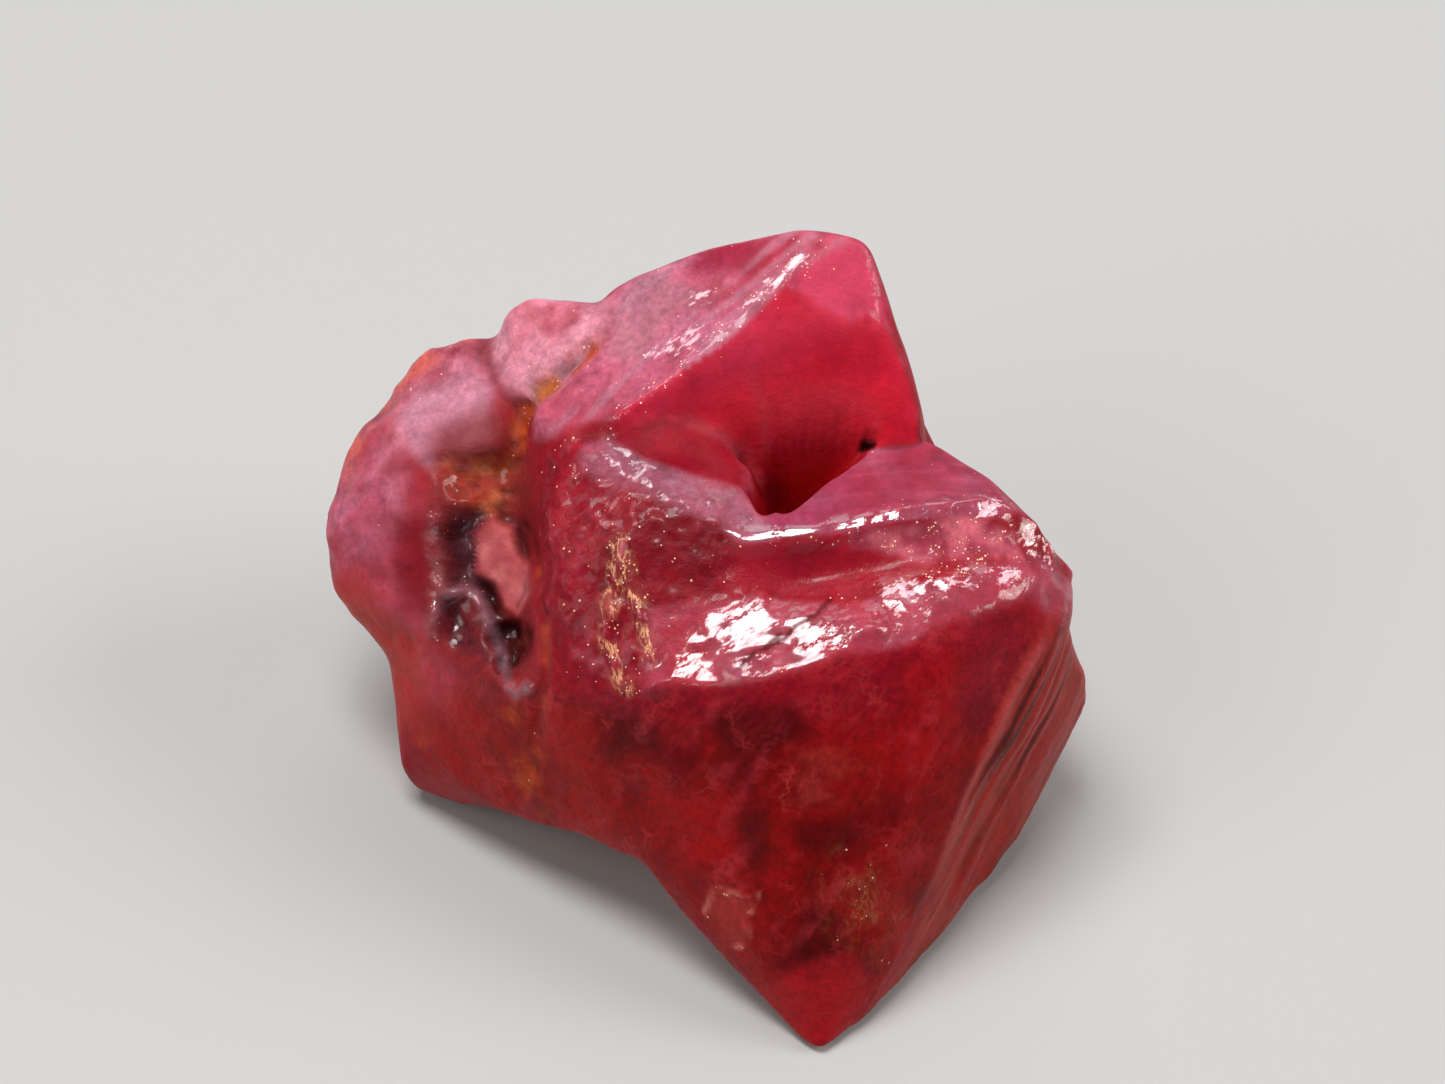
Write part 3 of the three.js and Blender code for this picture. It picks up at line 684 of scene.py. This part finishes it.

# The red face above the notch, painted partly as glow of light through the thin top, with
# painted shade inside the notch, and the two cut places beside it.
NOTCH = [(2.3, 15.5), (4.2, 15.7), (6.8, 15.3), (6.3, 14.7), (5, 13.3), (4, 12), (2.8, 12), (2.3, 12.9)]
NOTCH_TOP_GLOW = [(2, 16.3), (4.4, 16.5), (7.2, 16.2)]
FACE_VEILS = [
    [(-2.6, 16), (-1, 16.2), (0.7, 15.7), (1.9, 14.9), (2.4, 13.7)],
    [(2.1, 17.9), (2.6, 16.7), (2.7, 15.1)],
]
DOME_RIM = [(-0.5, 16.1), (1, 15.5), (1.9, 14.5), (2.1, 13.4)]
# Painted glow: the red face is a brighter red, partly its own colour and partly light shining through the
# thin top.
paint(LIVE_RED, red_face * (0.9 + 0.2 * mottle) * (1 - notch))
paint((0.3, 0.004, 0.01), red_face * 0.6 * smooth(1.3 * cloudy + 0.1) * (1 - notch))
under_ridge = red_face * along(points, RIDGE, 4) ** 0.5
paint((0.58, 0.035, 0.085), 0.55 * under_ridge * smooth(0.6 + mottle) * (1 - dome))
# Painted glow: a brighter red low on the face's right.
paint((0.7, 0.016, 0.046), 0.7 * red_face * spot(points, (8.6, 7.2, 18.6), (3.2, 3.2, 3.6)) ** 0.5)
paint((0.46, 0.004, 0.006), 0.9 * notch)
# Painted shade darkens the inside of the notch.
in_notch = inside(points, NOTCH, 1.8)
paint((0.16, 0.002, 0.003), 0.35 * in_notch * notch ** 0.3)
# Painted glow: a bright band along the notch's top, outside the notch.
paint((0.72, 0.018, 0.034), 0.6 * along(seen, NOTCH_TOP_GLOW, 2.4) * (1 - in_notch) * red_face)
# Painted shade: nearly black low in the notch.
paint((0.1, 0.001, 0.002), 0.9 * spot(points, (2.8, 4, 15), (1.3, 1.3, 1.6)) ** 0.5)
for route in FACE_VEILS:
    paint((0.52, 0.045, 0.07), 0.4 * red_face * along(seen, route, 0.5))
paint((0.57, 0.053, 0.112), 0.9 * chip)
paint((0.27, 0.005, 0.016), 0.85 * dome)
paint((0.52, 0.06, 0.09), 0.45 * dome * along(seen, DOME_RIM, 0.45))

# The broken middle: deep red with frosted bruises. Then the riser behind the ledge, and the
# arm's top, which is combed from side to side.
paint((0.29, 0.008, 0.02), 0.9 * broken)
paint(DEEP_RED, broken * smooth(0.4 + 1.6 * cloudy) * 0.6)
paint(MAUVE_GREY, broken * smooth(2.2 * layered(drift, 1, 48) - 0.6) * 0.3)
paint((0.32, 0.008, 0.022), 0.8 * riser * (0.8 + 0.5 * mottle))
combed = streaks(points, (1, 0.12, 0.02), 5, 0.28, 78)
paint((0.62, 0.16, 0.26), 0.2 * arm_top * smooth(2.4 * combed - 0.4))
paint(DEEP_RED, 0.16 * arm_top * smooth(-2.4 * combed - 0.4))

# Frost, where gravel has bruised the high places, and painted sheen: the pale mauve also stands
# for the sky's sheen on faces turned up. The lobe keeps three nearly bare patches.
BELOW_CREST = [
    (6.3, 11.5), (8.5, 11.9), (11, 12.2), (13.2, 11.8), (13.2, 10.9), (11, 10.6), (8.5, 10.4), (6.5, 10.7),
]
LOBE_RED = [(-12.6, 14.3), (-10.8, 14.4), (-10.4, 13), (-11.2, 12), (-12.4, 12.8)]
LOBE_DARK = [(-13.5, 11.9), (-12.2, 12.2), (-11.5, 11), (-11.5, 8.8), (-12.9, 8.4), (-13.8, 9.9)]
LOBE_LOW = [(-17, 9.2), (-15, 9.4), (-13.2, 8.2), (-12.2, 6.6), (-12.6, 3), (-18, 3)]
LOBE_LIT_GREY = [
    (-13, 18.2), (-10.9, 19), (-9, 17.9), (-8.4, 16.4), (-8.8, 15), (-10.9, 14.6), (-12.1, 14.5),
    (-13.2, 15.8),
]
TOP_RED = [(-0.3, 24.3), (1.8, 24.3), (1.3, 22.8), (-0.8, 22.4)]
TOP_GREY = [(-4.1, 21.3), (-2.2, 22.2), (-0.6, 21.4), (-1.8, 19.7), (-2.8, 18.4), (-4.4, 18.8)]
BACK_RIM = [(-16.2, 7, 12.9), (-14.8, 9.6, 14.6), (-13.2, 10.8, 15.6), (-11, 12, 16.8)]
below_crest = inside(drift, BELOW_CREST, 0.8) * smooth(z - 14)
lobe_front = lobe * (1 - behind)
lobe_dark = inside(drift, LOBE_DARK, 1.4) * (1 - behind)
frost_and_sheen = most(
    top_face * (0.42 + 0.5 * smooth((3.5 - x) / 6) + 0.6 * cloudy),
    lobe * (1 - 0.4 * behind) * (0.7 + 0.6 * mottle), 0.95 * knob * (0.8 + 0.5 * mottle),
    0.8 * below_crest * (0.8 + 0.8 * fine), 0.85 * band, arm_top * (0.28 + 0.5 * cloudy),
    0.45 * ledge * (0.6 + 0.7 * mottle), 0.4 * behind * (0.6 + mottle),
    0.5 * crest * (1 - 0.8 * red_face) * smooth((z - 5) / 6),
)
frost_and_sheen *= 1 - 0.75 * inside(drift, LOBE_RED, 1.2) * (1 - behind)
frost_and_sheen *= 1 - 0.85 * lobe_dark
frost_and_sheen *= 1 - 0.7 * inside(drift, LOBE_LOW, 1.6) * (1 - behind)
frost_and_sheen = np.clip(frost_and_sheen * (1 - 0.8 * pocket), 0, 1)
paint(DEEP_RED, 0.45 * lobe * lobe_dark)
# Frost and painted sheen: the pale mauve laid over the high places.
paint(FROSTED_SHEEN, frost_and_sheen * (0.85 + 0.35 * fine))
paint((0.27, 0.085, 0.12), 0.75 * band)
paint((0.28, 0.03, 0.078), (0.4 + 0.4 * smooth((7.6 - x) / 3)) * arm_top)
paint((0.68, 0.17, 0.17), 0.55 * below_crest * smooth(0.5 + 1.5 * fine))
paint(MAUVE_GREY, 0.45 * frost_and_sheen * smooth(1.8 * cloudy))
# Painted highlight: paler still on the rounded tops of the knob and the lobe.
sheen_on_tops = most(1.4 * knob, lobe * smooth((z - 13.5) / 2))
paint((0.78, 0.33, 0.41), 0.6 * frost_and_sheen * sheen_on_tops * (0.7 + fine))
paint(PINK, 0.25 * frost_and_sheen * smooth(-1.8 * cloudy))
ridge_lines = streaks(points, (9.2, 6.5, 4.1), 6, 0.5, 81)
paint((0.5, 0.22, 0.3), 0.5 * top_face * smooth(2.4 * ridge_lines - 0.3))
paint((0.3, 0.012, 0.045), 0.8 * top_face * inside(drift, TOP_RED, 1))
paint((0.46, 0.21, 0.26), 0.6 * top_face * inside(drift, TOP_GREY, 1.2))
paint(CRIMSON, 0.3 * (lobe_front + knob) * smooth(2.2 * folds - 0.4))
# Painted light: a pale grey patch brightens the lobe's front where it turns from the light.
paint((0.52, 0.25, 0.33), 0.65 * lobe_front * inside(drift, LOBE_LIT_GREY, 1))
paint((0.16, 0.004, 0.008), 0.55 * behind * smooth(0.2 + 1.8 * cloudy))
paint((0.46, 0.04, 0.026), 0.9 * lobe_front * smooth((10.6 - z) / 3) * smooth(0.8 + mottle))
# The knob paler again: frost and painted sheen.
paint((0.8, 0.42, 0.5), 0.45 * knob * smooth(0.7 + 1.2 * mottle))
paint((0.46, 0.034, 0.024), 0.65 * inside(half_drift, LOBE_LOW, 2.2) * (1 - behind))
paint((0.62, 0.12, 0.07), 0.8 * lobe * along(points, BACK_RIM, 1.5) * smooth(0.6 + 1.5 * fine))

# The pocket: hollows painted plum and near black as painted shade, rusty above, with a pale
# flake and a grey rim.
beside_flake = 1 - flake
paint(CRIMSON, 0.6 * pocket * (1 - lobe))
# Painted shade: the pocket is darkened to brown, and its hollows darker still.
paint((0.2, 0.02, 0.022), 0.85 * pocket * smooth((x + 12.4) / 1.2) * (1 - broken))
paint(SHADE_PLUM, 0.95 * arch_hollow * beside_flake)
paint((0.19, 0.045, 0.06), 0.95 * left_gap * beside_flake)
paint(SHADE_BLACK_RED, 0.95 * right_hollow * beside_flake)
paint((0.46, 0.06, 0.034), 0.9 * rusty_hollow * beside_flake)
paint((0.72, 0.22, 0.1), 0.8 * rusty_hollow * smooth(2 * layered(drift, 0.9, 76)))
paint((0.46, 0.085, 0.095), 0.97 * flake)
paint((0.6, 0.18, 0.18), 0.6 * flake * smooth(1.5 * fine + 0.2))
paint((0.27, 0.13, 0.16), 0.9 * arch * (0.7 + 0.6 * fine))
paint((0.42, 0.17, 0.18), 0.6 * left_rim * smooth(0.4 + 1.6 * fine))
# Painted shade: the gap at the notch's end is painted near black.
paint((0.004, 0.001, 0.001), 0.95 * shaded_gap)

# Dark cracks in the ledge, painted shade that darkens the hollows everywhere, and rust and gold in the
# cracks.
LEDGE_CRACKS = [
    [(1.6, 5.9), (2.2, 6.5), (2.6, 6.6), (3.2, 7.2)],
    [(2.7, 6.7), (3.4, 7), (3.9, 7.6), (4.7, 8), (5.3, 8.6)],
]
cracked = np.clip(sum(along(wavering, route, 0.19) for route in LEDGE_CRACKS), 0, 1) * (z > 13)
paint(DEEP_RED, 0.9 * cracked)
# Painted shade: every hollow is darkened.
paint(0.35 * colour, 0.7 * hollow)
rust = most(
    crevice * smooth(0.7 + 1.6 * fine), 0.45 * cleft * smooth(0.4 + 1.2 * fine),
    0.75 * fissure * smooth(0.3 + 1.8 * fine), 0.5 * hollow * behind * smooth(mottle * 2),
    0.8 * spot(points, (-7.1, -4.8, 8.6), (0.8, 1.2, 2.2)) * smooth(0.4 + 1.5 * fine),
)
gold = crevice * spot(points, (-6.9, 8.4, 17.8), (1.4, 1.6, 1.2)) ** 0.5
paint(RUST, rust)
paint(GOLD, 0.7 * gold * smooth(0.7 + fine))
for vein in VEINS:
    paint((0.4, 0.13, 0.09), 0.45 * along(points, vein, 0.7) * smooth(0.4 + 1.5 * fine))
colour = np.clip(colour * (1 + 0.22 * fine[:, None]), 0.001, 0.95)

# What the material reads besides the colour: how rough the skin is, how thick the painted
# glints lie, how much fine grain, how scuffed with frost and painted glints, how gilded with
# gold and painted glints, how webbed, and how glossy.
WHITE_SPECKS = [
    [(-1, 20.8), (-1, 21.6), (0.2, 21.8), (0.4, 21)],
    [(-2.6, 18.6), (-2.2, 19.8), (-0.2, 20.3), (0.2, 19.4), (-1.4, 18.8)],
    [(1.9, 21.3), (2.4, 22.3), (4.2, 23.6), (4.6, 23.1), (3, 21.8)],
]
specks = most(*[inside(half_drift, place, 0.8) for place in WHITE_SPECKS]) * smooth(z - 17)
roughness = 0.36 + 0.22 * frost_and_sheen + 0.1 * red_face + 0.2 * rust - 0.2 * ledge - 0.12 * band
roughness += 0.25 * cracked + 0.08 * fine - 0.14 * cavity - 0.1 * riser
glint = most(
    along(points, RIDGE, 0.8), 0.9 * veined(points, 0.7), 0.5 * along(points, CREST, 1.2),
    0.8 * along(points, LEDGE_BACK[2:], 1), 0.12 * broken, 0.45 * amber, 0.25 * left_gap, 0.5 * left_rim,
    0.5 * along(points, RIDGE[:3], 1.4), 0.3 * rust, 0.04 * frost_and_sheen, 0.35 * bruised, 0.5 * mark,
    0.9 * below_crest,
)
grain = 0.2 + 0.45 * frost_and_sheen + 0.4 * broken + 0.35 * left_front + 0.4 * front_face + 0.3 * side_face
grain += 0.3 * cavity + 0.2 * behind
# Pale scuffs where gravel bruised the stone, and painted glints and highlights along the ridge, the crest and
# the white specks.
scuff_and_glint = most(
    bruised * (0.75 + 0.5 * fine), 0.5 * along(points, RIDGE, 0.9), 0.55 * along(points, CREST[1:], 0.7),
    0.4 * below_crest, 0.85 * specks, 0.3 * left_rim, 0.35 * veined(points, 0.5),
    0.25 * along(points, CREST, 2) * arm_top,
)
# Gold in the veins and the amber stain, partly stain and partly painted glints.
gilding_and_glints = most(1.1 * veined(points, 0.55) * smooth(0.7 + 1.5 * fine), 0.15 * amber)
webbing = 0.75 * front_face + 0.55 * left_front + 0.3 * broken + 0.4 * webby + 0.25 * red_face
pane = inside(points + 0.35 * fine[:, None], LEDGE_PLANE, 0.5)
gloss = most(
    ledge * np.maximum(pane, 0.55), 3 * along(points, CREST[:4], 0.9) ** 0.5, 0.45 * band,
    0.35 * along(points, RIDGE, 0.8), 0.6 * specks, 0.45 * cavity * beside_flake, 0.8 * arch, 0.7 * left_rim,
    bruised, 0.12 * broken, 0.08 * frost_and_sheen, 0.1 * riser, 0.2 * chip, 0.5 * below_crest, 0.3 * behind,
)
mesh = bpy.data.meshes.new("crystal_surface")
mesh.from_pydata(points * MM, [], quads)
mesh.shade_smooth()
mesh.update()
tint = mesh.attributes.new("colour", "FLOAT_COLOR", "POINT")
tint.data.foreach_set("color", np.concatenate([colour, np.ones((count, 1))], 1).ravel())
READINGS = {
    "roughness": np.clip(roughness, 0.12, 0.8), "glint": glint, "grain": np.clip(grain, 0, 0.6),
    "scuff_and_glint": scuff_and_glint, "gilding_and_glints": gilding_and_glints, "webbing": np.clip(webbing, 0, 1),
    "gloss": gloss * (1 - 0.9 * cracked),
}
for name, values in READINGS.items():
    mesh.attributes.new(name, "FLOAT", "POINT").data.foreach_set("value", values)
scene = bpy.context.scene


def put(name, data):
    """A new object with that data, put in the scene."""
    thing = bpy.data.objects.new(name, data)
    scene.collection.objects.link(thing)
    return thing


crystal = put("crystal_surface", mesh)

# The material: the skin's own colour with noise over it, light scattered under the surface,
# and a natural polish as a coat.
stone = bpy.data.materials.new("spinel")
stone.use_nodes = True
nodes = stone.node_tree.nodes
link = stone.node_tree.links.new
shader = nodes["Principled BSDF"]
SETTINGS = {
    "IOR": 1.72, "Specular IOR Level": 0.05, "Coat Roughness": 0.1, "Coat IOR": 2.0,
    "Subsurface Weight": 0.5, "Subsurface Radius": (1.0, 0.18, 0.2), "Subsurface Scale": 0.0018,
}
for name, value in SETTINGS.items():
    shader.inputs[name].default_value = value


def node(kind, **settings):
    """A new node of the stone's material, with its settings."""
    made = nodes.new(kind)
    for setting, value in settings.items():
        setattr(made, setting, value)
    return made


def attribute(name, output="Fac"):
    """A socket that reads one of the mesh's attributes."""
    return node("ShaderNodeAttribute", attribute_name=name).outputs[output]


def feed(value, socket):
    """Gives a socket its value: another socket, a plain number or a plain colour."""
    if isinstance(value, tuple):
        socket.default_value = (*value, 1)
    elif isinstance(value, (int, float)):
        socket.default_value = value
    else:
        link(value, socket)


def sums(operation, *values):
    """A maths node on sockets or plain numbers."""
    made = node("ShaderNodeMath", operation=operation)
    for value, socket in zip(values, made.inputs):
        feed(value, socket)
    return made.outputs[0]


def limited(value):
    """The value, held between 0 and 1."""
    made = node("ShaderNodeClamp")
    link(value, made.inputs["Value"])
    return made.outputs[0]


def colour_sockets(sockets):
    """The colour sockets among a mix node's, which share their names with its number sockets."""
    return [socket for socket in sockets if socket.type == "RGBA"]


def blend(mask, under, over, way_of_mixing="MIX"):
    """Lays the colour over on the colour under by a mask. Each is a socket or a plain colour."""
    made = node("ShaderNodeMix", data_type="RGBA", blend_type=way_of_mixing)
    link(mask, made.inputs["Factor"])
    for value, socket in zip((under, over), colour_sockets(made.inputs)):
        feed(value, socket)
    return colour_sockets(made.outputs)[0]


on_stone = node("ShaderNodeTexCoord").outputs["Object"]


def noise(scale, detail, harshness, where=on_stone):
    """Cloudy noise from 0 to 1, scale lumps to the metre. Harshness is how strong its finer layers are."""
    made = node("ShaderNodeTexNoise")
    made.inputs["Scale"].default_value = scale
    made.inputs["Detail"].default_value = detail
    made.inputs["Roughness"].default_value = harshness
    link(where, made.inputs["Vector"])
    return made.outputs["Fac"]


def drawn_out(direction, share):
    """The place on the stone, squeezed along a direction to a share, so that noise looked up
    there is drawn out: the place plus its own part along the direction times share less 1."""
    direction = np.array(direction) / np.linalg.norm(direction)
    dot = node("ShaderNodeVectorMath", operation="DOT_PRODUCT")
    link(on_stone, dot.inputs[0])
    dot.inputs[1].default_value = direction
    shift = node("ShaderNodeVectorMath", operation="SCALE")
    shift.inputs[0].default_value = direction * (share - 1)
    link(dot.outputs["Value"], shift.inputs["Scale"])
    moved = node("ShaderNodeVectorMath", operation="ADD")
    link(on_stone, moved.inputs[0])
    link(shift.outputs["Vector"], moved.inputs[1])
    return moved.outputs["Vector"]


def contour(field, sharpness):
    """1 where the field passes through a half, falling to 0 beside it: a thin wandering line."""
    away = sums("ABSOLUTE", sums("SUBTRACT", field, 0.5))
    return sums("MAXIMUM", sums("SUBTRACT", 1, sums("MULTIPLY", away, sharpness)), 0)


# Painted glints: tiny bright specks where the stone is bruised, one to a cell, kept in a share of the cells.
GLINTS_PER_METRE = 8800
cells = node("ShaderNodeTexVoronoi")
cells.inputs["Scale"].default_value = GLINTS_PER_METRE
link(on_stone, cells.inputs["Vector"])
cell_number = node("ShaderNodeSeparateColor")
link(cells.outputs["Color"], cell_number.inputs[0])
clusters = sums("MULTIPLY_ADD", noise(1500, 2, 0.5), 3.4, -1.5)
chosen = sums("LESS_THAN", cell_number.outputs[0], sums("MULTIPLY", attribute("glint"), clusters))
glint_size = sums("MULTIPLY_ADD", cell_number.outputs[2], 0.38, 0.06)
painted_glints = sums("MULTIPLY", chosen, sums("LESS_THAN", cells.outputs["Distance"], glint_size))
glint_tint = blend(cell_number.outputs[1], (0.95, 0.48, 0.22), (0.95, 0.74, 0.62))

# Wispy veils inside the front faces, paler than the stone: thin contours of a cloudy noise.
patchy = sums("MAXIMUM", sums("MULTIPLY_ADD", noise(500, 2, 0.5), 3.0, -1.25), 0)
healed = contour(noise(900, 3, 0.55, drawn_out(VEIL_WAY, 0.12)), 24)
wisps = sums("MAXIMUM", contour(noise(340, 5, 0.66), 34), sums("MULTIPLY", healed, 0.45))
wisps = sums("MULTIPLY", wisps, sums("MULTIPLY", attribute("webbing"), patchy))

# The skin's colour: the stone's own, mottled by its grain, then the veils, the pale scuffs of
# bruises with painted glints among them, the gold threads, partly painted glints, and the
# painted glint specks.
ramp = node("ShaderNodeValToRGB")
ramp.color_ramp.elements[0].position = 0.3
ramp.color_ramp.elements[0].color = (0.35, 0.3, 0.3, 1)
ramp.color_ramp.elements[1].position = 0.7
ramp.color_ramp.elements[1].color = (1.3, 1.25, 1.3, 1)
link(noise(3200, 5, 0.72), ramp.inputs[0])
skin = blend(attribute("grain"), attribute("colour", "Color"), ramp.outputs[0], "MULTIPLY")
skin = blend(wisps, skin, (0.42, 0.03, 0.036))
streaked = drawn_out((0.8, 0.45, 0.4), 0.42)
# Pale scuffs, partly frosting and partly painted glints that stand for sparkle.
scuffs_and_glints = sums("SUBTRACT", noise(2900, 4, 0.7, streaked), 0.75)
scuffs_and_glints = limited(sums("MULTIPLY", sums("MULTIPLY_ADD", attribute("scuff_and_glint"), 0.32, scuffs_and_glints), 14))
skin = blend(sums("MULTIPLY", scuffs_and_glints, 0.8), skin, (0.88, 0.6, 0.66))
# Gold threads: partly stain in the veins and partly painted glints along them.
gold_glint_threads = contour(noise(1500, 5, 0.7, drawn_out((0.2, -0.73, -0.65), 0.35)), 24)
gold_glint_threads = sums("MINIMUM", sums("MULTIPLY", gold_glint_threads, attribute("gilding_and_glints")), 1)
skin = blend(gold_glint_threads, skin, (0.86, 0.48, 0.24))
skin = blend(painted_glints, skin, glint_tint)
link(skin, shader.inputs["Base Color"])

# Natural polish: strongest on the ledge and the crests, broken up by scratches and dents.
polish = sums("MULTIPLY_ADD", noise(2400, 6, 0.74, streaked), 3.0, -0.82)
scratches = contour(noise(700, 5, 0.66, streaked), 22)
polish = sums("MULTIPLY", attribute("gloss"), sums("SUBTRACT", polish, scratches))
link(limited(polish), shader.inputs["Coat Weight"])

uneven = sums("SUBTRACT", noise(3800, 3, 0.6), 0.5)
link(sums("MULTIPLY_ADD", uneven, 0.22, attribute("roughness")), shader.inputs["Roughness"])

BUMP_HEIGHT = 0.00012
bumps = sums("ADD", noise(2200, 5, 0.62), sums("MULTIPLY", noise(11000, 2, 0.5), 0.25))
bump = node("ShaderNodeBump")
bump.inputs["Strength"].default_value = 0.6
bump.inputs["Distance"].default_value = BUMP_HEIGHT
link(bumps, bump.inputs["Height"])
link(bump.outputs["Normal"], shader.inputs["Normal"])
mesh.materials.append(stone)

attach(crystal, "root")
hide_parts("spinel_crystal")


# Floor and light. A plain pale floor, five soft boxes and an even pale surround. The ledge
# mirrors the sky box, which hangs nearly overhead at the left, and the crests and the corner
# mirror the others.

FLOOR_HALF = 1.5
floor_mesh = bpy.data.meshes.new("floor")
floor_mesh.from_pydata(
    [(-FLOOR_HALF, -FLOOR_HALF, 0), (FLOOR_HALF, -FLOOR_HALF, 0),
     (FLOOR_HALF, FLOOR_HALF, 0), (-FLOOR_HALF, FLOOR_HALF, 0)], [], [(0, 1, 2, 3)])
floor = put("floor", floor_mesh)
floor_paint = bpy.data.materials.new("floor_paint")
floor_paint.use_nodes = True
floor_shader = floor_paint.node_tree.nodes["Principled BSDF"]
floor_shader.inputs["Base Color"].default_value = (0.45, 0.45, 0.44, 1)
floor_shader.inputs["Roughness"].default_value = 0.7
floor_mesh.materials.append(floor_paint)

world = bpy.data.worlds.new("surround")
world.use_nodes = True
surround = world.node_tree.nodes["Background"]
surround.inputs["Color"].default_value = (0.75, 0.8, 0.86, 1)
surround.inputs["Strength"].default_value = 0.11
scene.world = world

CENTRE = (0.0, 0.0, 0.012)


def soft_box(name, azimuth, elevation, distance, size, power, tint):
    """A square area light on a sphere round the crystal, turned to face its middle."""
    turn, tilt = math.radians(azimuth), math.radians(elevation)
    light = bpy.data.lights.new(name, "AREA")
    light.size = size
    light.energy = power
    light.color = tint
    lamp = put(name, light)
    outward = (math.sin(turn) * math.cos(tilt), -math.cos(turn) * math.cos(tilt), math.sin(tilt))
    lamp.location = [middle + distance * part for middle, part in zip(CENTRE, outward)]
    lamp.rotation_euler = (math.radians(90) - tilt, 0, turn)


soft_box("sky_box", -108, 77, 0.5, 0.2, 1.7, (1.0, 0.98, 0.99))
soft_box("top_box", 0, 88, 0.5, 0.11, 0.55, (1.0, 0.99, 1.0))
soft_box("back_box", 172, 52, 0.6, 0.36, 0.7, (0.94, 0.97, 1.0))
soft_box("right_box", 92, 36, 0.6, 0.28, 1.8, (1.0, 0.97, 0.94))
soft_box("left_box", -62, 38, 0.6, 0.4, 1.2, (1.0, 0.97, 0.94))

# Camera: looks down on the crystal from the front.
CAMERA_TILT = math.radians(48)
CAMERA_DISTANCE = 0.16
CAMERA_AIM = (0.00085, 0.00228, 0.01396)
CAMERA_LENS = 92.88
camera_data = bpy.data.cameras.new("camera")
camera_data.sensor_width = 36
camera_data.lens = CAMERA_LENS
camera_data.clip_start = 0.005
camera = put("camera", camera_data)
camera.location = (
    CAMERA_AIM[0],
    CAMERA_AIM[1] - CAMERA_DISTANCE * math.cos(CAMERA_TILT),
    CAMERA_AIM[2] + CAMERA_DISTANCE * math.sin(CAMERA_TILT),
)
camera.rotation_euler = (math.radians(90) - CAMERA_TILT, 0, 0)
scene.camera = camera
scene.view_settings.view_transform = "Standard"
